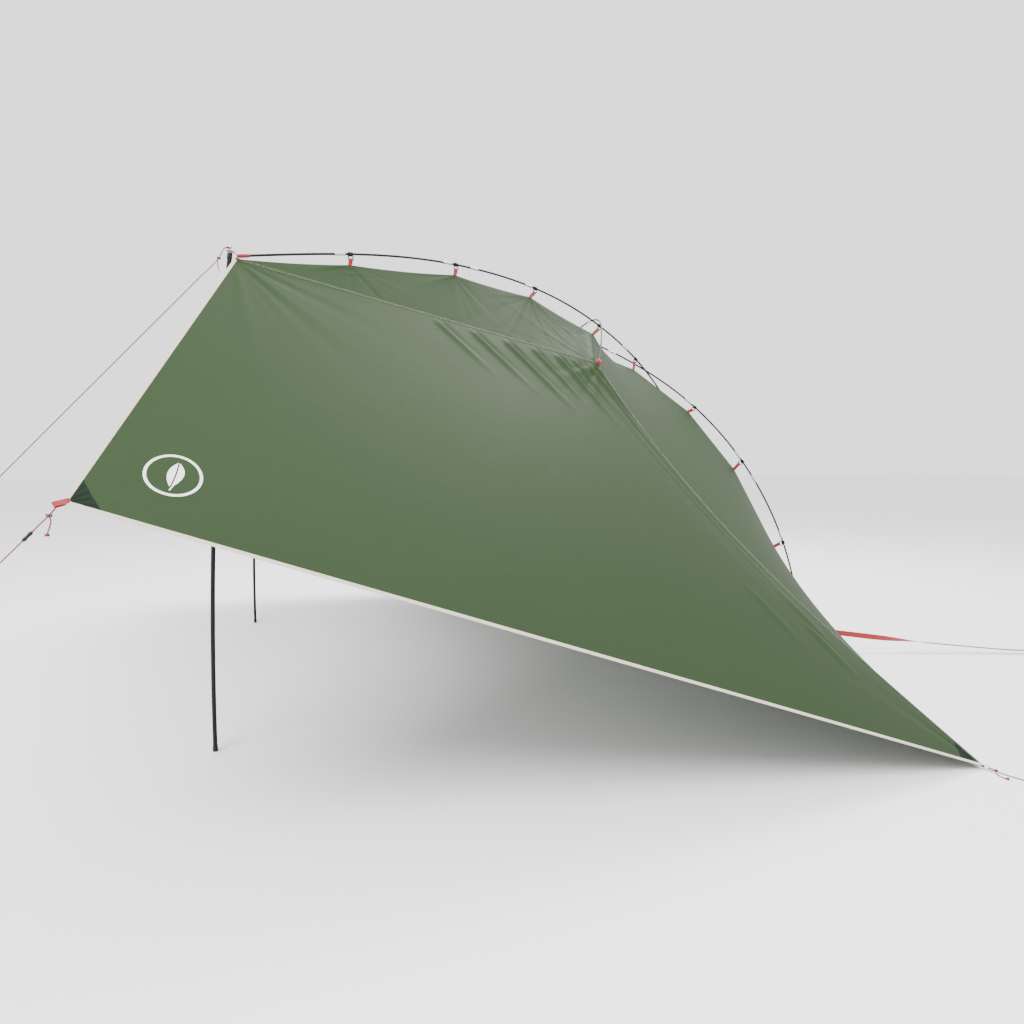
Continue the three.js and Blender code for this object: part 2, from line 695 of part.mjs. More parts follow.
// The pocket on an upright's head: a webbing eye over the spike, and a sleeve for the arch rod's front end.
function headPocket() {
  const bore = spikeRadius + eyeFit;
  const eye = turned([[bore, eyeSeat], [eyeOuter, eyeSeat], [eyeOuter, eyeTop], [bore, eyeTop],
    [bore, eyeSeat]], 16);
  placed(eye, head, headDirection);
  const length = nearArch.getLength();
  const sleeveStart = nearArch.getPointAt(20 / length);
  const sleeveEnd = nearArch.getPointAt(96 / length);
  const along = sleeveEnd.clone().sub(sleeveStart);
  const reach = along.length();
  const inner = rodRadius + pocketFit;
  const outer = inner + 3.4;
  const sleeve = turned([[0, 0], [outer, 0], [outer, reach], [inner, reach], [inner, 28], [0, 28]], 12);
  placed(sleeve, sleeveStart, along);
  const bridgeTop = head.z + eyeTop;
  const bridge = new THREE.BoxGeometry(24, 10, bridgeTop - sleeveStart.z);
  bridge.translate(head.x + 21, head.y + 5, (bridgeTop + sleeveStart.z) / 2);
  return joined(joined(eye, sleeve), cut(bridge, headRoom()));
}

// The room that the upright's head and its spike need below and inside the eye.
function headRoom() {
  const wide = uprightTubeRadius + 2;
  const bore = spikeRadius + eyeFit;
  const room = turned([[0, -300], [wide, -300], [wide, eyeSeat], [bore, eyeSeat], [bore, 60], [0, 60]]);
  return placed(room, head, headDirection);
}

// ---------------------------------------------------------------- pegs, cords and the runner

// The part of a wire peg that shows above the ground: a shank that ends at the ground, and a hook turned away
// from the line that it holds. It stands just past the line's end.
function addPeg(name, route) {
  const end = V(...route.at(-1));
  const away = end.clone().sub(V(...route.at(-2))).setZ(0).normalize();
  const reach = pegRadius + cordRadius + cordGap + pegBite;
  const foot = end.clone().add(away.clone().multiplyScalar(reach)).setZ(0);
  const shank = pegHeight - pegHookRadius;
  const points = [-1, 0.5, 1].map((share) => foot.clone().setZ(share * shank));
  for (const angle of [Math.PI / 4, Math.PI / 2, (3 * Math.PI) / 4, Math.PI]) {
    const out = away.clone().multiplyScalar(pegHookRadius * (1 - Math.cos(angle)));
    points.push(foot.clone().setZ(shank + pegHookRadius * Math.sin(angle)).add(out));
  }
  points.push(points.at(-1).clone().setZ(shank - pegHookDrop));
  const ground = new THREE.BoxGeometry(80, 80, 80);
  ground.translate(foot.x, foot.y, -40);
  addPiece(name, cut(swept(circle(pegRadius, 8), throughPoints(points), 18), ground), materials.zinc);
}

function cordSolid(route, steps) {
  return swept(circle(cordRadius, 8), throughPoints(route.map((p) => V(...p))), steps);
}

// The flat webbing guy: the same strip all along, on edge to edge rounding so that it stays one closed band.
function webbingSolid() {
  const curve = throughPoints(webbingRoute.map((p) => V(...p)));
  const half = webbingWidth / 2;
  const thin = webbingThickness / 2;
  const flat = half - webbingEdge;
  const outline = [[half, -thin / 2], [half, thin / 2], [flat, thin], [-flat, thin],
    [-half, thin / 2], [-half, -thin / 2], [-flat, -thin], [flat, -thin]];
  return swept(new THREE.Shape(outline.map(([a, b]) => new THREE.Vector2(a, b))), curve, 18);
}

// The line runner: a small plate with a hole along the cord.
function runnerAt(route) {
  const curve = throughPoints(route.map((p) => V(...p)));
  const point = curve.getPointAt(runnerShare);
  const tangent = curve.getTangentAt(runnerShare);
  const plate = new THREE.BoxGeometry(runnerSize.width, runnerSize.thickness, runnerSize.length);
  const boreSize = cordRadius + cordGap * 1.5;
  const bore = new THREE.CylinderGeometry(boreSize, boreSize, runnerSize.length * 2, 12);
  bore.rotateX(Math.PI / 2);
  return placed(cut(plate, bore), point, tangent);
}

// ---------------------------------------------------------------- assembly

const here = (geometry) => geometry;

addUpright("near", here);
addUpright("far", mirrored);
addArch("near", nearArch, here);
addArch("far", farArch, mirrored);
addPiece("near_brow_rod", browHalf(true), materials.fibreglass);
addPiece("far_brow_rod", mirrored(browHalf(false)), materials.fibreglass);
addPiece("near_brow_pocket", browPocket(), materials.redWebbing);
addPiece("far_brow_pocket", mirrored(browPocket()), materials.redWebbing);
addWing("near", here);
addWing("far", mirrored);
addCanopy();
addClips("near", nearArch, here);
addClips("far", farArch, mirrored);
addPiece("crossing_clip", hookAt(nearArch, crossingClipX), materials.darkPlastic);

const frontTab = tabAt(frontCorner, V(-0.626, -0.294, -0.722), V(0, 1, 0));
const rearTab = tabAt(rearCorner.clone().setZ(rearCornerHeight), V(0.3, -0.95, -0.08), V(1, 0, 0));
addPiece("near_front_tab", frontTab, materials.redWebbing);
addPiece("far_front_tab", mirrored(frontTab), materials.redWebbing);
addPiece("near_rear_tab", rearTab, materials.redWebbing);
addPiece("far_rear_tab", mirrored(rearTab), materials.redWebbing);
addPiece("near_head_pocket", headPocket(), materials.redWebbing);
addPiece("far_head_pocket", mirrored(headPocket()), materials.redWebbing);

addPiece("pole_guyline", cordSolid(poleLineRoute, 44), materials.redCord);
addPiece("corner_guyline", cordSolid(cornerLineRoute, 28), materials.redCord);
addPiece("rear_corner_line", cordSolid(rearLineRoute, 14), materials.redCord);
addPiece("rear_webbing_guy", webbingSolid(), materials.redWebbing);
addPiece("line_runner", runnerAt(cornerLineRoute), materials.darkPlastic);

addPeg("pole_guyline_peg", poleLineRoute);
addPeg("corner_guyline_peg", cornerLineRoute);
addPeg("rear_corner_peg", rearLineRoute);
addPeg("rear_webbing_peg", webbingRoute);

export default shelter;
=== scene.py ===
"""A tarp shelter on poles: two uprights, two crossing arch rods, a brow rod and a canopy hung on hook clips.

Lengths are metres in the frame's own coordinates. The shelter opens towards -X, its hem lies on the ground
towards +X, and "near" pieces are on the -Y side. The camera and the cords are made first.
"""

import math

import bmesh
import bpy
import numpy as np
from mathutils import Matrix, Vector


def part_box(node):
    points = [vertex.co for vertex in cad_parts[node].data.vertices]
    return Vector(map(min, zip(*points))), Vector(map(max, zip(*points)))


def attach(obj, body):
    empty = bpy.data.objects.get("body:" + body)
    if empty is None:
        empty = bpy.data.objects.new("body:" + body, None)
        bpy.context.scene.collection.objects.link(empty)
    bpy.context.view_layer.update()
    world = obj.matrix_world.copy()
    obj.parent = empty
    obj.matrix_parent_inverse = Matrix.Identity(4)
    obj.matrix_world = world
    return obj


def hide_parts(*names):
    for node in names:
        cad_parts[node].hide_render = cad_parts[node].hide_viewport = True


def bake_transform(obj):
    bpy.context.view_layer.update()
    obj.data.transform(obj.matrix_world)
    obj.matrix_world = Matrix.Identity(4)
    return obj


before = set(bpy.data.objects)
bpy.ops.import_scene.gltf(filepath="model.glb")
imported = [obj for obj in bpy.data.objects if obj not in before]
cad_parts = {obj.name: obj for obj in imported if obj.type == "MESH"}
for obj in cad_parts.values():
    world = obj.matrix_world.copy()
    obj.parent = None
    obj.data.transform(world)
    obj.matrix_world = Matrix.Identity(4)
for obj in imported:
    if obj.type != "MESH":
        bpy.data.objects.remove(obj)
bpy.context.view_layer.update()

bl_info = {
    "name": "Shelter on poles",
    "version": (1, 0, 0),
    "blender": (4, 5, 0),
    "location": "View3D > Sidebar > Shelter",
    "description": "Builds the looks of a tarp shelter on poles around its fixed frame",
    "category": "Object",
}


# ---------------------------------------------------------------- sizes and colours


def length(name, default, description):
    """A length in metres that the panel shows."""
    return bpy.props.FloatProperty(
        name=name, description=description, default=default, unit="LENGTH", precision=4
    )


def colour(name, default, description):
    """A colour that the panel shows, given in linear light."""
    return bpy.props.FloatVectorProperty(
        name=name, description=description, default=default, subtype="COLOR", size=3, min=0, max=1
    )


class ShelterSizes(bpy.types.PropertyGroup):
    pole_line: length("Pole line", -1.477, "Where the uprights' heads stand, along X")
    half_spacing: length("Half spacing", 1.333, "From the middle plane to an upright")
    upright_height: length("Upright height", 2.085, "Top of an upright's head, without its spike")
    tube_radius: length("Tube radius", 0.009, "Outer radius of an upright's tube")
    arch_start: length("Arch start", 2.073, "Height of the arch rods at the uprights")
    arch_crown: length("Arch crown", 2.249, "Height of the arch rods at their crown")
    arch_crown_x: length("Crown distance", 1.12, "From the pole line to the arches' crown")
    arch_foot_x: length("Foot distance", 3.365, "From the pole line to the arches' rear feet")
    arch_cross_x: length("Crossing distance", 2.456, "From the pole line to where the arches cross")
    rod_radius: length("Rod radius", 0.0052, "Radius of an arch rod")
    brow_radius: length("Brow rod radius", 0.0046, "Radius of the brow rod")
    binding_width: length("Binding width", 0.0115, "Width of the tape on the wing's edges")
    cord_diameter: length("Cord diameter", 0.004, "Diameter of the guylines")
    webbing_width: length("Webbing width", 0.034, "Width of the rear guy")


class ShelterColours(bpy.types.PropertyGroup):
    fabric: colour("Fabric", (0.0255, 0.0445, 0.0185), "The canopy's green")
    patch: colour("Patch", (0.007, 0.016, 0.0085), "The corner patches' dark green")
    tape: colour("Tape", (0.60, 0.53, 0.42), "The cream binding")
    red: colour("Red", (0.27, 0.001, 0.006), "Webbing, pockets and tabs")
    cord: colour("Cord", (0.17, 0.001, 0.008), "The guylines' main strand")
    rod: colour("Rod", (0.010, 0.0105, 0.0125), "Fibreglass rods and uprights")


# ---------------------------------------------------------------- shader writing


class Value:
    """A node socket that takes part in Python arithmetic: each operator adds one Math node."""

    def __init__(self, finish, socket):
        self.finish = finish
        self.socket = socket

    def math(self, operation, *others):
        return self.finish.node("ShaderNodeMath", {"operation": operation}, *others)[0]

    def __add__(self, other):
        return self.math("ADD", self, other)

    __radd__ = __add__

    def __sub__(self, other):
        return self.math("SUBTRACT", self, other)

    def __rsub__(self, other):
        return self.math("SUBTRACT", other, self)

    def __mul__(self, other):
        return self.math("MULTIPLY", self, other)

    __rmul__ = __mul__

    def __truediv__(self, other):
        return self.math("DIVIDE", self, other)

    def __pow__(self, other):
        return self.math("POWER", self, other)

    def wave(self):
        """Half of one plus the sine: a smooth value from 0 to 1."""
        return self.math("SINE", self) * 0.5 + 0.5

    def above(self, edge, softness):
        """0 below the edge and 1 above it, over a soft step."""
        return self.finish.node(
            "ShaderNodeMapRange", {"interpolation_type": "SMOOTHSTEP"}, self, edge - softness, edge + softness
        )[0]


class Finish:
    """A material under construction, around one Principled shader."""

    def __init__(self, name, colour, roughness, **constants):
        self.material = bpy.data.materials.new(name)
        self.material.use_nodes = True
        self.tree = self.material.node_tree
        self.shader = self.tree.nodes["Principled BSDF"]
        self.set("Base Color", colour)
        self.set("Roughness", roughness)
        for key, value in constants.items():
            self.set(key.replace("_", " "), value)

    def set(self, name, value):
        """Links or sets one socket of the shader."""
        socket = self.shader.inputs[name]
        if isinstance(value, Value):
            self.tree.links.new(value.socket, socket)
        elif hasattr(value, "__len__") and len(value) == 3 and len(socket.default_value) == 4:
            socket.default_value = (*value, 1.0)
        else:
            socket.default_value = value

    def node(self, kind, settings, *values, **named):
        """Adds a node, its settings first, then its sockets by order or by name. Returns its outputs."""
        node = self.tree.nodes.new(kind)
        for key, value in settings.items():
            setattr(node, key, value)
        slots = [(node.inputs[i], value) for i, value in enumerate(values)]
        slots += [(node.inputs[key.replace("_", " ")], value) for key, value in named.items()]
        for socket, value in slots:
            if isinstance(value, Value):
                self.tree.links.new(value.socket, socket)
            elif hasattr(value, "__len__") and len(value) == 3 and len(socket.default_value) == 4:
                socket.default_value = (*value, 1.0)
            else:
                socket.default_value = value
        return [Value(self, output) for output in node.outputs]

    def place(self):
        """Object coordinates, in metres."""
        return self.node("ShaderNodeTexCoord", {})[3]

    def flat(self):
        """The piece's own UV map, in metres, as two values."""
        vector = self.node("ShaderNodeTexCoord", {})[2]
        return self.node("ShaderNodeSeparateXYZ", {}, vector)[:2]

    def noise(self, where, scale, detail=3.0, roughness=0.55):
        """Smooth noise from 0 to 1."""
        return self.node(
            "ShaderNodeTexNoise", {}, Vector=where, Scale=scale, Detail=detail, Roughness=roughness
        )[0]

    def mix(self, share, first, second):
        """A colour between two colours."""
        mixed = self.node("ShaderNodeMixRGB", {}, share, first, second)
        return mixed[0]

    def bump(self, height, distance, strength=1.0, normal=None):
        """Raises the surface by a height from 0 to 1 times a distance."""
        links = {"Height": height, "Distance": distance, "Strength": strength}
        if normal is not None:
            links["Normal"] = normal
        return self.node("ShaderNodeBump", {}, **links)[0]


def shade(colour, factor):
    """A colour made darker or lighter by a factor."""
    return tuple(min(1.0, c * factor) for c in colour)


def fabric_finish(name, colour):
    """Coated polyester: a fine plain weave, faint cloudy wear and a soft sheen."""
    f = Finish(name, colour, 0.62, Specular_IOR_Level=0.08)
    across, along = f.flat()
    warp = (across * (2 * math.pi / 0.0016)).wave()
    weft = (along * (2 * math.pi / 0.0016)).wave()
    weave = warp * weft
    place = f.place()
    cloud = f.noise(place, 1.6)
    crease = f.noise(place, 26.0, 5.0, 0.6)
    tone = f.mix(cloud, shade(colour, 0.9), shade(colour, 1.1))
    tone = f.mix(crease * 0.25, tone, shade(colour, 0.78))
    tone = f.mix(weave * 0.12, tone, shade(colour, 1.35))
    f.set("Base Color", tone)
    f.set("Roughness", cloud * 0.12 + 0.55)
    f.set("Normal", f.bump(weave, 0.0002, 0.35, f.bump(crease, 0.004, 0.28)))
    return f.material


def webbing_finish(name, colour, rib=0.0024):
    """Flat woven tape: ribs across it, a fine lengthways yarn and soft edges."""
    f = Finish(name, colour, 0.78, Sheen_Weight=0.3, Sheen_Roughness=0.5)
    across, along = f.flat()
    ribs = (along * (2 * math.pi / rib)).wave()
    yarns = (across * (2 * math.pi / 0.0012)).wave()
    wear = f.noise(f.place(), 60.0)
    tone = f.mix(ribs * 0.45, shade(colour, 1.12), shade(colour, 0.6))
    f.set("Base Color", f.mix(wear * 0.4, tone, shade(colour, 0.8)))
    f.set("Normal", f.bump(ribs * 0.7 + yarns * 0.3, 0.0005, 0.8))
    return f.material


def cord_finish(name, colour):
    """A braided cord: strands that cross in two helices, with dark tracer strands and paler ones."""
    f = Finish(name, colour, 0.72, Sheen_Weight=0.25, Sheen_Roughness=0.5)
    around, along = f.flat()
    turn = 2 * math.pi
    left = (along * (turn / 0.011) + around * turn).wave()
    right = (along * (turn / 0.011) - around * turn).wave()
    fine = (along * (turn / 0.0032) + around * (4 * turn)).wave()
    braid = left * right
    tone = f.mix(braid.above(0.42, 0.12), shade(colour, 1.15), (0.26, 0.05, 0.08))
    tone = f.mix(((1 - left) * right).above(0.55, 0.1), tone, (0.05, 0.015, 0.03))
    f.set("Base Color", f.mix(fine * 0.35, tone, shade(colour, 0.45)))
    f.set("Normal", f.bump(fine * 0.6 + braid * 0.4, 0.0006, 0.9))
    return f.material


def rod_finish(name, colour, roughness, grain=900.0):
    """Pultruded fibreglass or painted steel: even colour with fine scuffs."""
    f = Finish(name, colour, roughness, Specular_IOR_Level=0.12)
    place = f.place()
    scuff = f.noise(place, 180.0, 4.0, 0.65)
    fleck = f.noise(place, grain, 2.0)
    f.set("Base Color", f.mix(scuff.above(0.66, 0.08) * 0.5, colour, shade(colour, 2.0)))
    f.set("Roughness", scuff * 0.22 + (roughness - 0.1))
    f.set("Normal", f.bump(fleck, 0.0002, 0.25))
    return f.material


def metal_finish(name, colour, roughness):
    """Bright drawn metal with fine scratches and a duller patch here and there."""
    f = Finish(name, colour, roughness, Metallic=1.0)
    place = f.place()
    dull = f.noise(place, 90.0, 4.0)
    scratch = f.noise(place, 1400.0, 2.0)
    f.set("Base Color", f.mix(dull, shade(colour, 0.8), shade(colour, 1.08)))
    f.set("Roughness", dull * 0.2 + scratch * 0.1 + (roughness - 0.14))
    f.set("Normal", f.bump(scratch, 0.0001, 0.2))
    return f.material


def plastic_finish(name, colour, roughness):
    """Moulded plastic or rubber: a fine spark-eroded grain and slightly shiny worn parts."""
    f = Finish(name, colour, roughness, Specular_IOR_Level=0.2)
    place = f.place()
    grain = f.noise(place, 2600.0, 2.0)
    wear = f.noise(place, 70.0, 3.0)
    f.set("Base Color", f.mix(wear, shade(colour, 0.85), shade(colour, 1.25)))
    f.set("Roughness", wear * 0.18 + (roughness - 0.08))
    f.set("Normal", f.bump(grain, 0.00012, 0.35))
    return f.material


def print_finish(name, colour):
    """Screen-printed ink on the weave."""
    f = Finish(name, colour, 0.6)
    across, along = f.flat()
    weave = (across * (2 * math.pi / 0.0016)).wave() * (along * (2 * math.pi / 0.0016)).wave()
    patchy = f.noise(f.place(), 120.0, 4.0)
    f.set("Base Color", f.mix(patchy * 0.3, colour, shade(colour, 0.78)))
    f.set("Normal", f.bump(weave, 0.0002, 0.3))
    return f.material


FINISHES = {
    "canopy_fabric": lambda c: fabric_finish("canopy_fabric", c.fabric),
    "corner_patch": lambda c: fabric_finish("corner_patch", c.patch),
    "edge_tape": lambda c: webbing_finish("edge_tape", c.tape, 0.0016),
    "red_webbing": lambda c: webbing_finish("red_webbing", c.red),
    "red_cord": lambda c: cord_finish("red_cord", c.cord),
    "pole_steel": lambda c: rod_finish("pole_steel", c.rod, 0.42),
    "rod_fibreglass": lambda c: rod_finish("rod_fibreglass", shade(c.rod, 1.3), 0.38),
    "ferrule_metal": lambda c: metal_finish("ferrule_metal", (0.62, 0.63, 0.65), 0.34),
    "zinc": lambda c: metal_finish("zinc", (0.55, 0.56, 0.58), 0.38),
    "foot_rubber": lambda c: plastic_finish("foot_rubber", (0.012, 0.012, 0.013), 0.72),
    "clip_plastic": lambda c: plastic_finish("clip_plastic", (0.007, 0.0075, 0.009), 0.42),
    "red_thread": lambda c: plastic_finish("red_thread", shade(c.red, 0.75), 0.8),
    "thread": lambda c: plastic_finish("thread", (0.55, 0.5, 0.43), 0.8),
    "print_ink": lambda c: print_finish("print_ink", (0.78, 0.80, 0.76)),
}
made_finishes = {}


def finish(name):
    """The material of that name, made once."""
    if name not in made_finishes:
        made_finishes[name] = FINISHES[name](bpy.context.scene.shelter_colours)
    return made_finishes[name]


# ---------------------------------------------------------------- numpy shapes


def unit(vectors):
    """Vectors divided by their lengths."""
    vectors = np.asarray(vectors, float)
    return vectors / np.maximum(np.linalg.norm(vectors, axis=-1, keepdims=True), 1e-12)


def lerp(a, b, t):
    """a + (b - a) t."""
    return a + (b - a) * t


def bell(x, centre, width):
    """A bump of height 1 at the centre: exp(-((x - centre) / width) squared)."""
    return np.exp(-(((x - centre) / width) ** 2))


def smooth(x):
    """3 x squared - 2 x cubed, held between 0 and 1."""
    x = np.clip(x, 0, 1)
    return x * x * (3 - 2 * x)


def by_length(points, count):
    """The same line with evenly spaced points: each coordinate read off against the length so far."""
    steps = np.linalg.norm(np.diff(points, axis=0), axis=1)
    run = np.concatenate([[0], np.cumsum(steps)])
    wanted = np.linspace(0, run[-1], count)
    return np.stack([np.interp(wanted, run, points[:, k]) for k in range(3)], axis=1)


def through(points, count):
    """A centripetal Catmull-Rom curve: between two points, the cubic whose end slopes come from the neighbours,
    with knots spaced by the square root of the distances."""
    p = np.asarray(points, float)
    p = np.concatenate([[2 * p[0] - p[1]], p, [2 * p[-1] - p[-2]]])
    knot = np.maximum(np.sqrt(np.linalg.norm(np.diff(p, axis=0), axis=1)), 1e-6)[:, None]
    a, b, c, d = p[:-3], p[1:-2], p[2:-1], p[3:]
    k0, k1, k2 = knot[:-2], knot[1:-1], knot[2:]
    start = ((b - a) / k0 - (c - a) / (k0 + k1) + (c - b) / k1) * k1
    end = ((c - b) / k1 - (d - b) / (k1 + k2) + (d - c) / k2) * k1
    t = np.linspace(0, 1, 48, endpoint=False)[None, :, None]
    b, c, start, end = (q[:, None, :] for q in (b, c, start, end))
    cubic = b + start * t + (3 * (c - b) - 2 * start - end) * t**2 + (2 * (b - c) + start + end) * t**3
    dense = np.concatenate([cubic.reshape(-1, 3), p[-2:-1]])
    return by_length(dense, count)


def around(radius, sides):
    """A circle's outline, anticlockwise, with its first point repeated at the end."""
    angle = np.linspace(0, 2 * np.pi, sides + 1)
    return np.stack([radius * np.cos(angle), radius * np.sin(angle)], axis=1)


def carried(path, profile, side, size=None):
    """A profile carried along a path. At each point the profile's first axis is the side direction made square to
    the path, and its second axis is square to both. size scales the profile at each point."""
    path = np.asarray(path, float)
    ahead = unit(np.gradient(path, axis=0))
    side = np.broadcast_to(np.asarray(side, float), path.shape)
    first = unit(side - ahead * (side * ahead).sum(1, keepdims=True))
    second = np.cross(ahead, first)
    profile = np.asarray(profile, float)
    profile = np.broadcast_to(profile, (len(path), *profile.shape[-2:]))
    if size is not None:
        profile = profile * np.asarray(size, float)[:, None, None]
    grid = path[:, None] + profile[..., :1] * first[:, None] + profile[..., 1:] * second[:, None]
    run = np.concatenate([[0], np.cumsum(np.linalg.norm(np.diff(path, axis=0), axis=1))])
    return grid, np.stack(np.broadcast_arrays(np.linspace(0, 1, grid.shape[1])[None, :], run[:, None]), axis=2)


def turned_along(line, outline, side, sides=20):
    """A round piece about a bent line. Each outline row is (distance along the line, radius); the ring there is
    centre + radius (cos a first + sin a second), where first is the side direction made square to the line."""
    line, outline = np.asarray(line, float), np.asarray(outline, float)
    run = np.concatenate([[0], np.cumsum(np.linalg.norm(np.diff(line, axis=0), axis=1))])
    ahead = unit(np.gradient(line, axis=0))
    side = np.broadcast_to(np.asarray(side, float), line.shape)
    first = unit(side - ahead * (side * ahead).sum(1, keepdims=True))
    at = outline[:, 0]
    centre, ahead, first = (
        np.stack([np.interp(at, run, values[:, k]) for k in range(3)], axis=1)
        for values in (line, ahead, first)
    )
    past = np.minimum(at, 0) + np.maximum(at - run[-1], 0)
    centre = centre + ahead * past[:, None]
    second = np.cross(ahead, first)
    angle = np.linspace(0, 2 * np.pi, sides + 1)[None, :, None]
    ring = np.cos(angle) * first[:, None] + np.sin(angle) * second[:, None]
    flat = np.stack(np.broadcast_arrays(np.linspace(0, 1, sides + 1)[None, :], at[:, None]), axis=2)
    return centre[:, None] + outline[:, 1, None, None] * ring, flat


def rod(line, radius, side, sides=16, cells=None):
    """A round rod along a line, closed at both ends by a small rounded shoulder."""
    total = line_length(line)
    body = np.linspace(radius * 0.3, total - radius * 0.3, cells or len(line))
    ends = [(0, 0), (0, radius * 0.8)], [(total, radius * 0.8), (total, 0)]
    outline = np.concatenate([ends[0], np.stack([body, np.full(len(body), radius)], axis=1), ends[1]])
    return turned_along(line, outline, side, sides)


def band(path, width, thickness, across):
    """A flat band along a path: a thin rounded rectangle carried along it, whose width lies across, closed at
    both ends."""
    half, thin = width / 2, thickness / 2
    outline = np.array([(half, 0), (half * 0.96, thin), (0, thin), (-half * 0.96, thin), (-half, 0),
                        (-half * 0.96, -thin), (0, -thin), (half * 0.96, -thin), (half, 0)])
    path = np.asarray(path, float)
    line = np.concatenate([path[:1], path, path[-1:]])
    line[0] += unit(path[0] - path[1]) * thin * 0.2
    line[-1] += unit(path[-1] - path[-2]) * thin * 0.2
    size = np.ones(len(line))
    size[[0, -1]] = 1e-4
    grid, flat = carried(line, outline, across, size)
    flat = flat * [width, 1]
    return grid, flat


def stitches(line, normal, pitch, thread, share=0.62):
    """Threads along a line: each is a small six-sided spindle whose ends dip into the cloth. They are worked out
    together as one array of rings."""
    count = int(line_length(line) / pitch)
    centres = by_length(line, count * 2 + 1)[1::2]
    ahead = unit(np.gradient(centres, axis=0))
    normal = np.atleast_2d(unit(normal))
    at = (np.arange(count) + 0.5) / count * (len(normal) - 1)
    normal = unit(np.stack([np.interp(at, np.arange(len(normal)), normal[:, k]) for k in range(3)], axis=1))
    side = unit(np.cross(normal, ahead))
    along = np.array([-0.5, -0.32, 0, 0.32, 0.5]) * pitch * share
    girth = np.array([1e-3, 0.8, 1, 0.8, 1e-3]) * thread / 2
    rise = np.array([-0.4, 0.1, 0.35, 0.1, -0.4]) * thread
    angle = np.linspace(0, 2 * np.pi, 7)
    ring = (np.cos(angle)[None, :, None] * side[:, None, :]
            + np.sin(angle)[None, :, None] * normal[:, None, :])
    spine = (centres[:, None, :] + along[None, :, None] * ahead[:, None, :]
             + rise[None, :, None] * normal[:, None, :])
    grids = spine[:, :, None, :] + girth[None, :, None, None] * ring[:, None, :, :]
    return [(grid, np.zeros((5, 7, 2))) for grid in grids]


def knot(centre, size, thread, sides=10):
    """A tight knot: a tube along the trefoil (sin t + 2 sin 2t, cos t - 2 cos 2t, -sin 3t)."""
    t = np.linspace(0, 2 * np.pi, 73)
    curve = np.stack([np.sin(t) + 2 * np.sin(2 * t), np.cos(t) - 2 * np.cos(2 * t),
                      -1.3 * np.sin(3 * t)], axis=1)
    return carried(np.asarray(centre) + curve * size / 3, around(thread / 2, sides), (0.3, 0.2, 1.0))


def turned_on(start, direction, outline, sides=24):
    """A solid of revolution: [radius, height] pairs turned about a direction from a start point."""
    direction = unit(direction)
    helper = np.array([0.0, 1.0, 0.0]) if abs(direction[1]) < 0.9 else np.array([1.0, 0.0, 0.0])
    first = unit(np.cross(direction, helper))
    second = np.cross(direction, first)
    outline = np.asarray(outline, float)
    angle = np.linspace(0, 2 * np.pi, sides + 1)
    ring = np.cos(angle)[None, :, None] * first + np.sin(angle)[None, :, None] * second
    grid = np.asarray(start, float) + outline[:, None, 1:] * direction + outline[:, None, :1] * ring
    flat = np.stack(np.broadcast_arrays(angle[None, :] * 0.01, outline[:, 1:]), axis=2)
    return grid, flat


def line_length(line):
    return float(np.linalg.norm(np.diff(line, axis=0), axis=1).sum())


def other_side(grids):
    """The same grids on the other side of the middle plane, turned so that their faces still point out."""
    return [(grid[:, ::-1] * [1, -1, 1], flat[:, ::-1]) for grid, flat in grids]


def make_piece(name, grids, material, body="root", sharp=40, recalculate=False):
    """A mesh from grids of points. Each grid is (points n x m x 3, flat n x m x 2); neighbours share quads, and
    points that meet are merged, so a closed outline and a pole become closed."""
    points, flats, faces, offset = [], [], [], 0
    for grid, flat in grids:
        rows, columns = grid.shape[:2]
        index = offset + np.arange(rows * columns).reshape(rows, columns)
        quads = np.stack([index[:-1, :-1], index[:-1, 1:], index[1:, 1:], index[1:, :-1]], axis=-1)
        faces.append(quads.reshape(-1, 4))
        points.append(grid.reshape(-1, 3))
        flats.append(np.broadcast_to(flat, (rows, columns, 2)).reshape(-1, 2))
        offset += rows * columns
    points, flats, faces = np.concatenate(points), np.concatenate(flats), np.concatenate(faces)
    mesh = bpy.data.meshes.new(name)
    mesh.from_pydata(points, [], faces)
    uv = mesh.uv_layers.new(name="flat")
    corners = np.empty(len(mesh.loops), np.int32)
    mesh.loops.foreach_get("vertex_index", corners)
    uv.data.foreach_set("uv", flats[corners].astype(np.float32).ravel())
    built = bmesh.new()
    built.from_mesh(mesh)
    bmesh.ops.remove_doubles(built, verts=built.verts, dist=2e-6)
    bmesh.ops.dissolve_degenerate(built, edges=built.edges, dist=1e-6)
    if recalculate:
        bmesh.ops.recalc_face_normals(built, faces=built.faces)
    built.to_mesh(mesh)
    built.free()
    mesh.polygons.foreach_set("use_smooth", np.ones(len(mesh.polygons), bool))
    mesh.set_sharp_from_angle(angle=math.radians(sharp))
    piece = bpy.data.objects.new(name, mesh)
    bpy.context.scene.collection.objects.link(piece)
    mesh.materials.append(finish(material))
    if body:
        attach(piece, body)
    return piece


# ---------------------------------------------------------------- the shelter's lines


def sizes():
    return bpy.context.scene.shelter_sizes


HEAD_SETBACK = -0.012
WEBBING_THICKNESS = 0.0022
UPRIGHT_LEAN = 0.104
UPRIGHT_SPLAY = 0.012
UPRIGHT_BOW = 0.033
SECTION_JOINTS = (0.700, 1.400)
UPRIGHT_CAP = ((0.035, 0.0086), (0.035, 0.0102), (0.036, 0.0105),
               (0.0595, 0.0105), (0.0605, 0.0098), (0.0605, 0.004))
ARCH_DROP_POWER = 2.2
PASSING = 0.0062
PASSING_REACH = 0.26
SIDES = (("near", False), ("far", True))


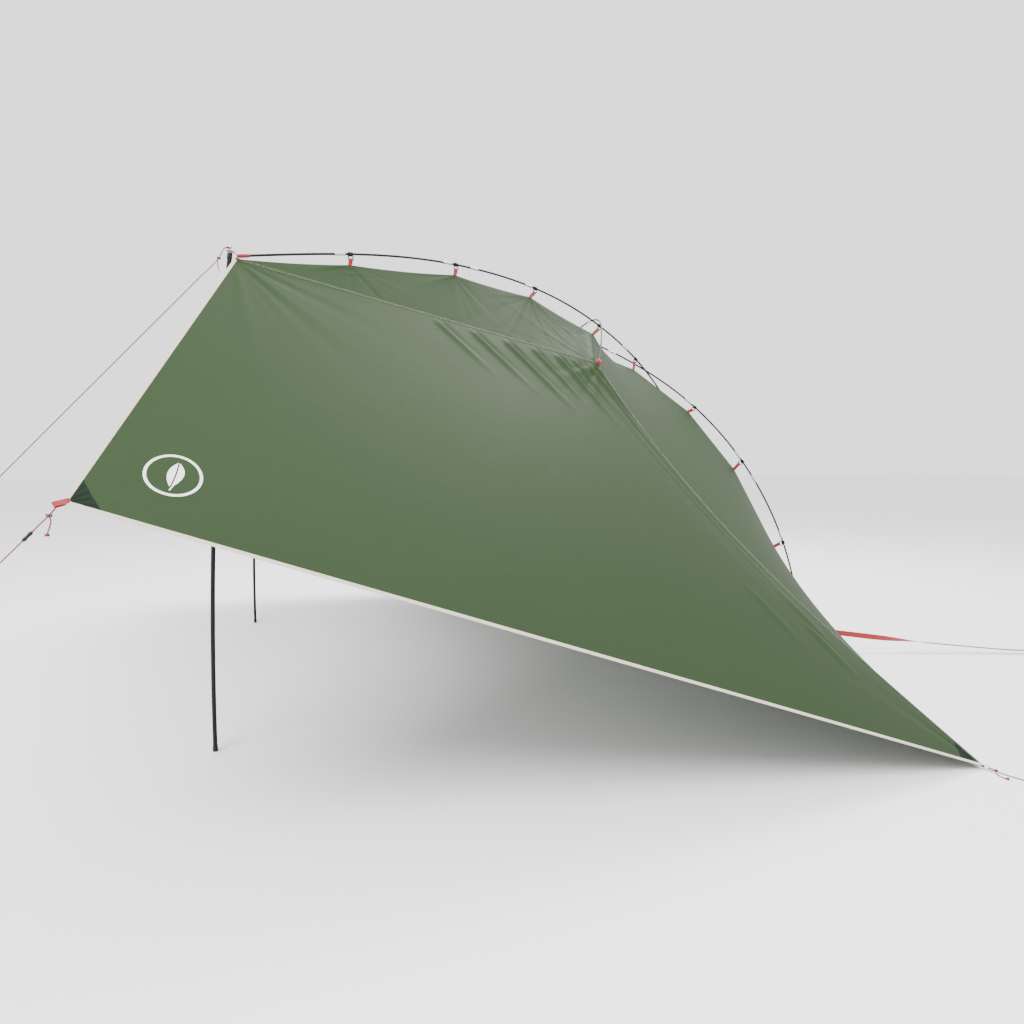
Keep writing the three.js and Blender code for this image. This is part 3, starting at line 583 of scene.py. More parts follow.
def upright_line(low, high, count):
    """An upright's centre: t is height over full height, x leans by (1 - t) and bows by 4 t (1 - t)."""
    s = sizes()
    z = np.linspace(low, high, count)
    t = z / s.upright_height
    x = s.pole_line + HEAD_SETBACK - UPRIGHT_LEAN * (1 - t) - 4 * UPRIGHT_BOW * t * (1 - t)
    return np.stack([x, -s.half_spacing - UPRIGHT_SPLAY * (1 - t), z], axis=1)


def arch_line(lift, count=2400):
    """An arch that starts at the near upright: straight in plan, a quarter sine up to its crown, then a squared
    ellipse to the ground. lift raises it where the two arches pass."""
    s = sizes()
    t = np.linspace(0, 1, count)
    front = t < 0.35
    share = np.clip(t / 0.35, 0, 1)
    angle = np.clip((t - 0.35) / 0.65, 0, 1) * np.pi / 2
    along = np.where(front, s.arch_crown_x * share,
                     s.arch_crown_x + (s.arch_foot_x - s.arch_crown_x) * np.sin(angle) ** (2 / ARCH_DROP_POWER))
    z = np.where(front, lerp(s.arch_start, s.arch_crown, np.sin(share * np.pi / 2)),
                 s.arch_crown * np.cos(angle))
    z = z + lift * bell(along, s.arch_cross_x, PASSING_REACH)
    y = -s.half_spacing * (1 - along / s.arch_cross_x)
    return by_length(np.stack([s.pole_line + along, y, z], axis=1), count)


def stretch(line, start, end, count):
    """The part of an evenly spaced line between two lengths from its start."""
    total = np.linalg.norm(np.diff(line, axis=0), axis=1).sum()
    at = np.linspace(start, end, count) / total * (len(line) - 1)
    return np.stack([np.interp(at, np.arange(len(line)), line[:, k]) for k in range(3)], axis=1)


def arch_station(line, along):
    """Length from a line's start to where it is a distance behind the pole line."""
    at = np.interp(sizes().pole_line + along, line[:, 0], np.arange(len(line)))
    return at / (len(line) - 1) * line_length(line)


# ---------------------------------------------------------------- uprights


def upright_tube(low, high, spigot):
    """An upright's tube: up its bore's wall and round its lower lip, up the outside, and over a swaged step onto
    the spigot, which closes on the axis."""
    radius = sizes().tube_radius
    bore, neck, depth = radius - 0.0014, radius - 0.00175, 0.066
    total = high - low
    outline = [(depth, 0), (depth, bore), (0.001, bore),
               (0, bore + 0.0004), (0, radius - 0.0004), (0.0005, radius)]
    outline += [(z, radius) for z in np.linspace(0.02, total - 0.02, 26)]
    if spigot:
        outline += [(total - 0.0015, radius), (total, radius - 0.0006), (total + 0.001, neck),
                    (total + 0.058, neck), (total + 0.0615, neck - 0.0012), (total + 0.062, 0)]
    else:
        outline += [(total - 0.001, radius), (total, radius - 0.001), (total, 0)]
    line = upright_line(low, high + 0.08, 60)
    return turned_along(line, outline, (0, 1, 0), 28)


def upright_foot(side):
    """A rubber foot: a turned cup with three grip grooves and a flat bottom."""
    low, high = (np.array(c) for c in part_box(f"{side}_upright_foot"))
    radius = (high[0] - low[0]) / 2
    centre = np.array([low[0] + radius, (low[1] + high[1]) / 2, 0])
    outline = [(0, 0), (radius - 0.0012, 0), (radius, 0.0012)]
    for groove in (0.006, 0.011, 0.016):
        outline += [(radius, groove - 0.0014), (radius - 0.0008, groove), (radius, groove + 0.0014)]
    outline += [(radius, 0.0235), (radius - 0.0008, 0.0255), (radius - 0.0022, 0.026), (0, 0.026)]
    return turned_on(centre, (0, 0, 1), outline, 36)


class SHELTER_OT_uprights(bpy.types.Operator):
    """Makes the two sectional uprights with their feet and spikes"""

    bl_idname = "shelter.uprights"
    bl_label = "Uprights"

    def execute(self, context):
        top = context.scene.shelter_sizes.upright_height
        first, second = SECTION_JOINTS
        sections = (("lower", 0.0264, first, True, "_lower"),
                    ("middle", first + 0.0004, second, True, "_middle"),
                    ("upper", second + 0.0004, top, False, None))
        for side, mirror in SIDES:
            for part, low, high, spigot, body in sections:
                grids = [upright_tube(low, high, spigot)]
                if part == "upper":
                    line = upright_line(top - 0.06, top, 8)
                    grids.append(turned_along(line, UPRIGHT_CAP, (0, 1, 0), 28))
                piece = make_piece(f"{side}_{part}_tube", other_side(grids) if mirror else grids, "pole_steel",
                                   body=side + body if body else "root")
                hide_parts(f"{side}_upright_{part}_tube")
            foot = make_piece(f"{side}_foot", [upright_foot(side)], "foot_rubber", body=f"{side}_lower")
            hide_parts(f"{side}_upright_foot")
            line = upright_line(top - 0.05, top, 6)
            outline = [(0.03, 0), (0.03, 0.0035), (0.0504, 0.0035), (0.0504, 0.0082), (0.0512, 0.0086),
                       (0.0535, 0.0082), (0.055, 0.0044), (0.0565, 0.0035), (0.091, 0.0035), (0.0935, 0.003),
                       (0.0955, 0.0018), (0.096, 0)]
            spike = [turned_along(line, outline, (0, 1, 0), 24)]
            piece = make_piece(f"{side}_spike", other_side(spike) if mirror else spike, "zinc")
            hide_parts(f"{side}_upright_spike")
        return {"FINISHED"}


# ---------------------------------------------------------------- arch rods and brow rod

ARCH_BREAKS = (0.0, 0.26, 0.52, 0.77, 1.0)
ARCH_END_GAP = 0.052
FERRULES_BEFORE_CLIPS = (0.49, 1.045, 1.56, 2.76, 3.03, 3.262)
FERRULE_LENGTH = 0.055


def ferrule(line, start, radius):
    """A metal sleeve on a rod: a short tube with rolled lips and two crimped grooves."""
    end = start + FERRULE_LENGTH
    outer = radius + 0.0013
    outline = [(start, radius - 0.0006), (start, outer),
               (start + 0.0012, outer + 0.0003), (start + 0.0024, outer)]
    for groove in (start + 0.012, end - 0.012):
        outline += [(groove - 0.002, outer), (groove, outer - 0.0005), (groove + 0.002, outer)]
    outline += [(end - 0.0024, outer), (end - 0.0012, outer + 0.0003), (end, outer), (end, radius - 0.0006)]
    return turned_along(line, outline, (0, 1, 0.2), 24)


class SHELTER_OT_arches(bpy.types.Operator):
    """Makes the two crossing arch rods, section by section, with their metal ferrules"""

    bl_idname = "shelter.arches"
    bl_label = "Arch rods"

    def execute(self, context):
        radius = context.scene.shelter_sizes.rod_radius
        for side, mirror in SIDES:
            line = arch_line(-PASSING if mirror else PASSING)
            total = line_length(line)
            stops = [arch_station(line, along) - 0.03 - FERRULE_LENGTH for along in FERRULES_BEFORE_CLIPS]
            joints = [share * total for share in ARCH_BREAKS]
            for index in range(len(ARCH_BREAKS) - 1):
                start = max(joints[index], ARCH_END_GAP) + 0.0002
                end = min(joints[index + 1], total - 0.0004) - 0.0002
                part = stretch(line, start, end, 90)
                grids = [rod(part, radius, (0, 1, 0.2), 18, 90)]
                piece = make_piece(f"{side}_arch_rod_{index + 1}", other_side(grids) if mirror else grids,
                                   "rod_fibreglass")
                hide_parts(f"{side}_arch_section_{index + 1}")
                sleeves = [ferrule(line, stop, radius) for stop in stops if start < stop < end]
                if index < len(ARCH_BREAKS) - 2:
                    sleeves.append(ferrule(line, joints[index + 1] - FERRULE_LENGTH / 2, radius))
                make_piece(f"{side}_ferrules_{index + 1}", other_side(sleeves) if mirror else sleeves,
                           "ferrule_metal")
        return {"FINISHED"}


BROW_TOP = (2.08, 2.142)
BROW_TIP = (0.70, 1.785)
BROW_RAKE = 0.594
BROW_CUP = ((-0.018, 0), (-0.0165, 0.008), (-0.010, 0.0135), (0.0, 0.0155),
            (0.008, 0.0145), (0.015, 0.0105), (0.021, 0.0078), (0.0225, 0.0068),
            (0.0225, 0.0052), (0.004, 0.0048), (0.004, 0))


def brow_line(count=400):
    """The brow rod's line: a smooth curve in a plane that leans forwards as it comes down."""
    half, tip = BROW_TIP
    top_x, top = BROW_TOP
    y = np.array([-1, -0.69, -0.34, 0, 0.34, 0.69, 1]) * half
    z = lerp(tip, top, np.array([0, 0.48, 0.88, 1, 0.88, 0.48, 0]))
    x = sizes().pole_line + top_x - BROW_RAKE * (top - z)
    return through(np.stack([x, y, z], axis=1), count)


class SHELTER_OT_brow(bpy.types.Operator):
    """Makes the brow rod in two halves, its ferrule and its two red pockets"""

    bl_idname = "shelter.brow"
    bl_label = "Brow rod"

    def execute(self, context):
        radius = context.scene.shelter_sizes.brow_radius
        line = brow_line()
        half = line_length(line) / 2
        lean = (1, 0, -0.3)
        for side, mirror in SIDES:
            grids = [rod(stretch(line, 0.006, half - 0.0003, 80), radius, lean, 18, 80)]
            piece = make_piece(f"{side}_brow", other_side(grids) if mirror else grids, "rod_fibreglass")
            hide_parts(f"{side}_brow_rod")
            cup, flat = turned_along(line[:60], BROW_CUP, lean, 30)
            pinch = 1 + 0.1 * np.sin(7 * np.linspace(0, 2 * np.pi, 31))[None, :, None] * bell(
                np.linspace(0, 1, len(BROW_CUP)), 0.55, 0.25)[:, None, None]
            centre = cup.mean(1, keepdims=True)
            grids = [(centre + (cup - centre) * pinch, flat * [0.05, 1])]
            piece = make_piece(f"{side}_brow_cup", other_side(grids) if mirror else grids, "red_webbing")
            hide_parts(f"{side}_brow_pocket")
        make_piece("brow_ferrule", [ferrule(line, half - FERRULE_LENGTH / 2, radius)],
                   "ferrule_metal")
        return {"FINISHED"}


# ---------------------------------------------------------------- cords

# The free cords' routes, in metres.
POLE_LINE_ROUTE = [
    (-1.497, -1.336, 2.106), (-1.508, -1.339, 2.103), (-1.519, -1.342, 2.085), (-1.531, -1.345, 2.059),
    (-1.613, -1.383, 1.956), (-1.778, -1.460, 1.750), (-2.026, -1.576, 1.441), (-2.273, -1.691, 1.132),
    (-2.520, -1.806, 0.824), (-2.768, -1.922, 0.515), (-2.982, -2.022, 0.247), (-3.098, -2.076, 0.103),
    (-3.155, -2.102, 0.031)]
CORNER_LINE_ROUTE = [
    (-1.887, -2.362, 1.082), (-1.940, -2.388, 1.021), (-2.040, -2.437, 0.906), (-2.200, -2.515, 0.721),
    (-2.360, -2.593, 0.537), (-2.520, -2.671, 0.352), (-2.680, -2.749, 0.168), (-2.760, -2.788, 0.075),
    (-2.799, -2.807, 0.031)]
REAR_LINE_ROUTE = [
    (1.408, -2.391, 0.008), (1.416, -2.410, 0.005), (1.428, -2.440, 0.0032), (1.444, -2.480, 0.0026),
    (1.462, -2.525, 0.0034), (1.478, -2.565, 0.012), (1.486, -2.585, 0.026)]
WEBBING_ROUTE = [
    (1.897, -0.499, 0.148), (1.960, -0.520, 0.139), (2.100, -0.568, 0.122), (2.300, -0.636, 0.099),
    (2.500, -0.705, 0.078), (2.700, -0.773, 0.059), (2.900, -0.842, 0.042), (3.100, -0.910, 0.027),
    (3.255, -0.963, 0.022)]


def cord_piece(name, route, node, peg):
    """A braided cord: a circle carried along its route, with its peg at the far end. The peg argument is not used.
    """
    diameter = sizes().cord_diameter
    line = through(route, 420)
    flat_side = unit(np.cross(line[-1] - line[0], (0, 0, 1)))
    piece = make_piece(name, [rod(line, diameter / 2, flat_side, 12)], "red_cord")
    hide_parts(node)
    return piece


def peg_piece(node, route):
    """A bent wire peg just past a line's end: a shank that leaves the ground and a round hook over it."""
    radius, hook, shank = 0.0026, 0.009, 0.037
    end, before = np.array(route[-1]), np.array(route[-2])
    away = unit((end - before) * [1, 1, 0])
    foot = (end + away * 0.0066) * [1, 1, 0]
    angle = np.linspace(0, np.pi, 14)[:, None]
    up = np.array([0.0, 0.0, 1.0])
    bend = foot + up * (shank + hook * np.sin(angle)) + away * hook * (1 - np.cos(angle))
    line = np.concatenate([[foot], [foot + up * shank * 0.6], bend, [bend[-1] - up * 0.012]])
    piece = make_piece(node.replace("peg", "wire_peg"),
                       [rod(by_length(line, 60), radius, np.cross(away, up), 16)],
                       "zinc")
    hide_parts(node)
    return piece


def cord_grids(lines):
    """Short lengths of cord along given lines."""
    thread = sizes().cord_diameter
    return [rod(through(line, 60), thread / 2, (0.3, 0.5, 1.0), 10) for line in lines]


def head_knot():
    """The loop over the spike, the knot below it and its short tail."""
    thread = sizes().cord_diameter
    start, slip = np.array(POLE_LINE_ROUTE[0]), np.array(POLE_LINE_ROUTE[3])
    axis = upright_line(sizes().upright_height, sizes().upright_height, 1)[0]
    angle = np.linspace(0, 2 * np.pi, 40)[:, None]
    ring = axis + [0, 0, 0.021] + 0.0062 * (np.cos(angle) * [1, 0, 0.2] + np.sin(angle) * [0, 1, 0])
    tail = [slip, slip + [-0.004, -0.003, -0.012], slip + [-0.005, -0.002, -0.032],
            slip + [0.001, -0.004, -0.054]]
    grids = [carried(ring, around(thread / 2, 10), (0, 0, 1)), knot(slip, 0.0075, thread),
             knot(start, 0.005, thread)]
    return make_piece("pole_cord_knot", grids + cord_grids([tail]), "red_cord")


def corner_knot():
    """The cord's bight through the front tab, its knot, and the tail that hangs from it."""
    thread = sizes().cord_diameter
    start = np.array(CORNER_LINE_ROUTE[0])
    bight = [start, start + [0.006, 0.006, 0.010], start + [0.012, 0.001, 0.016],
             start + [0.008, -0.006, 0.008],
             start + [-0.002, -0.004, -0.002]]
    tail = [start + [-0.004, -0.002, -0.004], start + [0.001, -0.003, -0.020], start + [-0.003, -0.004, -0.038],
            start + [-0.010, -0.004, -0.058]]
    grids = [knot(start + [-0.004, -0.002, -0.004], 0.0075, thread), knot(np.array(tail[-1]), 0.0055, thread)]
    return make_piece("corner_cord_knot", grids + cord_grids([bight, tail]), "red_cord")


def rear_knot():
    """The cord's bight through the rear tab, its knot, and the tail that lies on the ground."""
    thread = sizes().cord_diameter
    start = np.array(REAR_LINE_ROUTE[0])
    bight = [start, start + [-0.004, 0.010, 0.004], start + [-0.010, 0.014, 0.003],
             start + [-0.012, 0.004, 0.0],
             start + [-0.002, -0.002, 0.001]]
    tail = [start + [0, -0.002, -0.004], start + [-0.012, -0.022, -0.0055], start + [-0.018, -0.048, -0.0055],
            start + [-0.014, -0.070, -0.0055]]
    grids = [knot(start + [0.002, -0.003, 0.001], 0.0065, thread),
             knot(np.array(tail[-1]) + [0, 0, 0.003], 0.005, thread)]
    return make_piece("rear_cord_knot", grids + cord_grids([bight, tail]), "red_cord")


def runner_piece():
    """The line runner: a rounded plate along the cord, waisted in the middle, with a grip rib on each face."""
    line = through(CORNER_LINE_ROUTE, 420)
    middle = 0.056 * line_length(line)
    part = stretch(line, middle - 0.0175, middle + 0.0175, 26)
    t = np.linspace(-1, 1, 26)
    angle = np.linspace(0, 2 * np.pi, 33)
    wide = np.sign(np.cos(angle)) * np.abs(np.cos(angle)) ** 0.6 * 0.0105
    thick = np.sign(np.sin(angle)) * np.abs(np.sin(angle)) ** 0.6 * 0.0044
    girth = (1 - np.abs(t) ** 8) ** 0.35 * (1 - 0.12 * bell(t, 0, 0.35))
    rib = 1 + 0.18 * bell(np.abs(t), 0.5, 0.08)
    profile = np.stack([wide[None, :] * girth[:, None], thick[None, :] * (girth * rib)[:, None]], axis=2)
    profile[[0, -1]] *= 1e-3
    level = unit(np.cross(line[-1] - line[0], (0, 0, 1)))
    piece = make_piece("runner_plate", [carried(part, profile, level)], "clip_plastic", body="runner")
    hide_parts("line_runner")
    return piece


class SHELTER_OT_cords(bpy.types.Operator):
    """Makes the guylines and the flat rear guy"""

    bl_idname = "shelter.cords"
    bl_label = "Cords"

    def execute(self, context):
        pegs = [peg_piece(name, route) for name, route in (
            ("pole_guyline_peg", POLE_LINE_ROUTE), ("corner_guyline_peg", CORNER_LINE_ROUTE),
            ("rear_corner_peg", REAR_LINE_ROUTE), ("rear_webbing_peg", WEBBING_ROUTE))]
        cord_piece("pole_cord", POLE_LINE_ROUTE, "pole_guyline", [pegs[0], head_knot()])
        cord_piece("corner_cord", CORNER_LINE_ROUTE, "corner_guyline", [pegs[1], runner_piece(), corner_knot()])
        cord_piece("rear_cord", REAR_LINE_ROUTE, "rear_corner_line", [pegs[2], rear_knot()])
        width = context.scene.shelter_sizes.webbing_width
        line = through(WEBBING_ROUTE, 240)
        level = unit(np.cross(line[-1] - line[0], (0, 0, 1)))
        turn = (np.pi / 2) * (1 - smooth((np.linspace(0, 1, 240) - 0.28) / 0.3))[:, None]
        across = np.cos(turn) * level + np.sin(turn) * np.array([0.0, 0.0, 1.0])
        across = np.concatenate([across[:1], across, across[-1:]])
        strip = make_piece("rear_webbing", [band(line, width, WEBBING_THICKNESS, across)], "red_webbing")
        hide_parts("rear_webbing_guy")
        return {"FINISHED"}


# ---------------------------------------------------------------- clips and their straps

CLIP_STATIONS = (0.49, 1.045, 1.56, 2.063, 2.76, 3.03, 3.262)
CROSSING_STATION = 2.392
FAR = np.array([1.0, -1.0, 1.0])


def clip_hangs():
    """Where each clip's strap is sewn on, for the near arch. Behind the crossing it is on the far side."""
    return [*ROOF_CLIPS, *(tuple(np.array(point) * FAR) for point in REAR_CLIPS[4:7])]


def clip_place(line, along, hang):
    """The rod's centre at a clip, the rod's direction, the way down to the strap's seam, and the third axis."""
    at = np.interp(sizes().pole_line + along, line[:, 0], np.arange(len(line)))
    index = int(at)
    centre = lerp(line[index], line[index + 1], at - index)
    tangent = unit(line[index + 2] - line[index - 2])
    down = from_pole_line(hang) - centre
    reach = np.linalg.norm(down)
    down = unit(down - tangent * (down @ tangent))
    return centre, tangent, down, np.cross(tangent, down), reach


def rounded_loop(half, low, high, corner, count=12):
    """A closed rectangle with round corners that starts in the middle of its upper side: points (across, down)."""
    points = [(0.0, low)]
    for centre, start in (((half - corner, low + corner), -90), ((half - corner, high - corner), 0),
                          ((-half + corner, high - corner), 90), ((-half + corner, low + corner), 180)):
        angle = np.radians(start + np.linspace(0, 90, count))
        points += list(np.stack([centre[0] + corner * np.cos(angle),
                                 centre[1] + corner * np.sin(angle)], axis=1))
    return np.array([*points, (0.0, low)])


def hook_grids(place):
    """A moulded hook: a C-shaped ring with thick lips round the rod, and a frame for the strap below it."""
    centre, tangent, down, side, _ = place
    inner = sizes().rod_radius + 0.0006
    middle = inner + 0.0019
    angle = np.radians(np.linspace(118, 425, 60))[:, None]
    arc = centre + middle * (np.cos(angle) * down + np.sin(angle) * side)
    grids = [band(arc, 0.020, 0.0038, tangent)]
    for end, step in ((arc[0], arc[1] - arc[0]), (arc[-1], arc[-1] - arc[-2])):
        lip = np.stack([end - tangent * 0.009, end + tangent * 0.009])
        grids.append(rod(by_length(lip, 8), 0.0024, step, 12, 8))
    loop = rounded_loop(0.0132, middle + 0.001, middle + 0.0155, 0.004)
    frame_line = by_length(centre + loop[:, :1] * tangent + loop[:, 1:] * down, 90)
    bar = np.array([(1, 0.5), (0.5, 1), (-0.5, 1), (-1, 0.5), (-1, -0.5),
                    (-0.5, -1), (0.5, -1), (1, -0.5), (1, 0.5)])
    grids.append(carried(frame_line, bar * 0.0021, side))
    return grids


def strap_grids(place, hang):
    """A doubled strap: from the canopy up one side, round the frame's lower bar, and down the other side."""
    centre, tangent, down, side, _ = place
    bar = centre + down * (sizes().rod_radius + 0.0022 + 0.0155)
    angle = np.radians(np.linspace(0, 180, 14))[:, None]
    over = bar + 0.0030 * (np.cos(angle) * side - np.sin(angle) * down)
    foot = from_pole_line(hang) + down * 0.002
    rise = np.linspace(0, 1, 12)[:, None]
    up = lerp(foot + side * 0.0011, over[0], rise[:-1])
    back = lerp(over[-1], foot - side * 0.0011, rise[1:])
    line = by_length(np.concatenate([up, over, back]), 60)
    grid, flat = band(line, 0.0200, 0.0015, tangent)
    return [(grid, flat)], bar, foot


def bar_tack(place, hang):
    """The dense stitching that closes a strap just below its frame, on both faces."""
    centre, tangent, down, side, _ = place
    foot = from_pole_line(hang)
    bar = centre + down * (sizes().rod_radius + 0.0022 + 0.0155)
    grids = []
    for share in (0.38, 0.46):
        row = lerp(bar, foot, share)
        for face in (1, -1):
            middle = row + side * face * lerp(0.0036, 0.0019, share)
            line = np.stack([middle - tangent * 0.0066, middle + tangent * 0.0066])
            grids.append(rod(by_length(line, 16), 0.0005, side, 6, 16))
    return grids


class SHELTER_OT_clips(bpy.types.Operator):
    """Makes the fifteen hook clips and their red straps"""

    bl_idname = "shelter.clips"
    bl_label = "Clips"

    def execute(self, context):
        jobs = [(side, mirror, f"{side}_clip_{k + 1}", along, hang) for side, mirror in SIDES
                for k, (along, hang) in enumerate(zip(CLIP_STATIONS, clip_hangs()))]
        jobs.append(("near", False, "crossing_clip", CROSSING_STATION, REAR_CLIPS[3]))
        for side, mirror, node, along, hang in jobs:
            line = arch_line(-PASSING if mirror else PASSING)
            place = clip_place(line, along, hang)
            hook = hook_grids(place)
            strap, bar, foot = strap_grids(place, hang)
            tack = bar_tack(place, hang)
            if mirror:
                hook, strap, tack = other_side(hook), other_side(strap), other_side(tack)
                bar, foot = bar * FAR, foot * FAR
            piece = make_piece(f"{node}_hook", hook, "clip_plastic", body=node)
            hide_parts(node)
            for name, grids, material in (("strap", strap, "red_webbing"), ("tack", tack, "red_thread")):
                piece = make_piece(f"{node}_{name}", grids, material, body=None)
                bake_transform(piece)
        return {"FINISHED"}


# ---------------------------------------------------------------- head pockets and corner tabs


def head_pocket():
    """A webbing eye over the spike, a sleeve over the arch rod's end, and a strap down to the canopy."""
    s = sizes()
    top = upright_line(s.upright_height, s.upright_height, 1)[0]
    axis = unit(upright_line(s.upright_height, s.upright_height, 1)[0] - upright_line(
        s.upright_height - 0.05, s.upright_height - 0.05, 1)[0])
    eye_ring = [(0.0043, 0.0058), (0.0146, 0.0058), (0.0152, 0.0064), (0.0152, 0.0082), (0.0146, 0.0088),
                (0.0043, 0.0088), (0.0040, 0.0080), (0.0040, 0.0064), (0.0043, 0.0058)]
    grids = [turned_on(top, axis, eye_ring, 32)]
    line = arch_line(PASSING)
    outline = [(0.018, 0), (0.0185, 0.0058), (0.021, 0.0074), (0.034, 0.0080), (0.05, 0.0078), (0.066, 0.0074),
               (0.0715, 0.0070), (0.0725, 0.0065), (0.0725, 0.0055), (0.0515, 0.0054), (0.051, 0)]
    sleeve, flat = turned_along(line, outline, (0, 1, 0.2), 28)
    grids.append((sleeve, flat * [0.045, 1]))
    start = stretch(line, 0.019, 0.019, 2)[0]
    eye_edge = top + axis * 0.0073 + unit((start - top) * [1, 1, 0]) * 0.0135
    link = by_length(np.stack([eye_edge, lerp(eye_edge, start, 0.5) + [0, 0, 0.001], start]), 14)
    grids.append(band(link, 0.016, WEBBING_THICKNESS, (0, 1, 0)))
    peak = from_pole_line(PEAK)
    drop = np.stack([eye_edge + [0.002, 0, -0.0005], peak + [0.013, 0.002, 0.010], peak + [0.006, 0, -0.004]])
    drop = by_length(drop, 18)
    grids.append(band(drop, 0.016, 0.0016, (0, 1, 0)))
    return grids


def tab_grids(corner, away, second, length_out=0.024):
    """A tab of webbing: sewn inside the corner, out along its direction, round in a small eye, and back."""
    away = unit(away)
    normal = unit(np.cross(away, second))
    angle = np.radians(np.linspace(90, -90, 14))[:, None]
    tip = corner + away * (length_out - 0.0048)
    eye = tip + 0.0046 * (np.cos(angle) * away + np.sin(angle) * normal)
    out = lerp(corner - away * 0.022 + normal * 0.0022, eye[0], np.linspace(0, 1, 14)[:-1, None])
    back = lerp(eye[-1], corner - away * 0.022 - normal * 0.0022, np.linspace(0, 1, 14)[1:, None])
    line = by_length(np.concatenate([out, eye, back]), 70)
    grids = [band(line, 0.0175, 0.0016, np.cross(normal, away))]
    tacks = []
    across = np.cross(normal, away)
    for along in (-0.016, -0.006, 0.010):
        for face in (1, -1):
            middle = corner + away * along + normal * face * 0.0034
            row = np.stack([middle - across * 0.0068, middle + across * 0.0068])
            tacks.append(rod(by_length(row, 20), 0.0006, normal, 6, 20))
    return grids, tacks


class SHELTER_OT_fittings(bpy.types.Operator):
    """Makes the head pockets and the four corner tabs"""

    bl_idname = "shelter.fittings"
    bl_label = "Pockets and tabs"

    def execute(self, context):
        front, rear, peak, brow = map(from_pole_line, (FRONT_CORNER, REAR_CORNER, PEAK, BROW_CORNER))
        corners = (("front", front, unit(front - brow), peak - front),
                   ("rear", rear, unit((rear - brow) * [1, 1, 0.0]), front - rear))
        for side, mirror in SIDES:
            grids = head_pocket()
            piece = make_piece(f"{side}_head_sleeve", other_side(grids) if mirror else grids, "red_webbing")
            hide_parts(f"{side}_head_pocket")
            for name, corner, away, second in corners:
                grids, tacks = tab_grids(corner, away, second)
                if mirror:
                    grids, tacks = other_side(grids), other_side(tacks)
                piece = make_piece(f"{side}_{name}_loop", grids, "red_webbing")
                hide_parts(f"{side}_{name}_tab")
                make_piece(f"{side}_{name}_tacks", tacks, "red_thread")
        return {"FINISHED"}


# ---------------------------------------------------------------- the canopy

# Where the canopy hangs from the clips' straps, and where its seams meet, measured from the pole line.
PEAK = (0.005, -1.333, 2.064)
FRONT_CORNER = (-0.384, -2.35, 1.112)
REAR_CORNER = (2.869, -2.35, 0.012)
BROW_CORNER = (1.863, -0.70, 1.777)
ROOF_CLIPS = [(0.488, -1.068, 2.135), (1.039, -0.769, 2.194), (1.523, -0.506, 2.163), (2.010, -0.242, 2.019)]
REAR_CLIPS = [(2.010, -0.242, 2.019), (2.094, -0.196, 1.930), (2.193, -0.143, 1.868), (2.373, -0.045, 1.836),
              (2.722, -0.146, 1.560), (2.985, -0.287, 1.180), (3.212, -0.411, 0.676), (3.345, -0.484, 0.006)]
SEAM_SAG = 0.15
HEM_SETBACK = 0.13
HEM_SAG = 0.10
WING_CELLS = (190, 130)
FLANK_CELLS = 48
MIDDLE_CELLS = 30


def from_pole_line(point):
    return np.array([point[0] + sizes().pole_line, point[1], point[2]])


def spread(cells, lean):
    """Shares from 0 to 1 whose spacing changes evenly from one end to the other: s + lean s (1 - s)."""
    s = np.linspace(0, 1, cells + 1)
    return s + lean * s * (1 - s)


def segments_through(points, shares, slack):
    """Straight stretches between points, each pulled in by a shallow parabola, read at shares of the length."""
    points = np.asarray(points, float)
    steps = np.linalg.norm(np.diff(points, axis=0), axis=1)
    run = np.concatenate([[0], np.cumsum(steps)])
    at = np.asarray(shares) * run[-1]
    line = np.stack([np.interp(at, run, points[:, k]) for k in range(3)], axis=-1)
    piece = np.clip(np.searchsorted(run, at, side="right") - 1, 0, len(steps) - 1)
    t = (at - run[piece]) / steps[piece]
    line[:, 2] -= slack * steps[piece] * 4 * t * (1 - t)
    return line


def membrane(first, last, left, right, pull=1.0):
    """The surface that spans four edges like a stretched skin: each inner point is the weighted mean of its
    neighbours. It is solved at once, in the eigenvectors of the second-difference matrices of the two
    directions. first and last run along the columns, left and right along the rows; pull weighs the rows."""
    rows, columns = len(left), len(first)
    grid = np.zeros((rows, columns, 3))
    grid[0], grid[-1], grid[:, 0], grid[:, -1] = first, last, left, right

    def modes(count):
        matrix = (np.diag(np.full(count, -2.0)) + np.diag(np.ones(count - 1), 1)
                  + np.diag(np.ones(count - 1), -1))
        return np.linalg.eigh(matrix)

    row_values, row_modes = modes(rows - 2)
    column_values, column_modes = modes(columns - 2)
    known = np.zeros((rows - 2, columns - 2, 3))
    known[0] += pull * grid[0, 1:-1]
    known[-1] += pull * grid[-1, 1:-1]
    known[:, 0] += grid[1:-1, 0] / pull
    known[:, -1] += grid[1:-1, -1] / pull
    sums = pull * row_values[:, None] + column_values[None, :] / pull
    for k in range(3):
        inner = row_modes.T @ -known[..., k] @ column_modes / sums
        grid[1:-1, 1:-1, k] = row_modes @ inner @ column_modes.T
    return grid


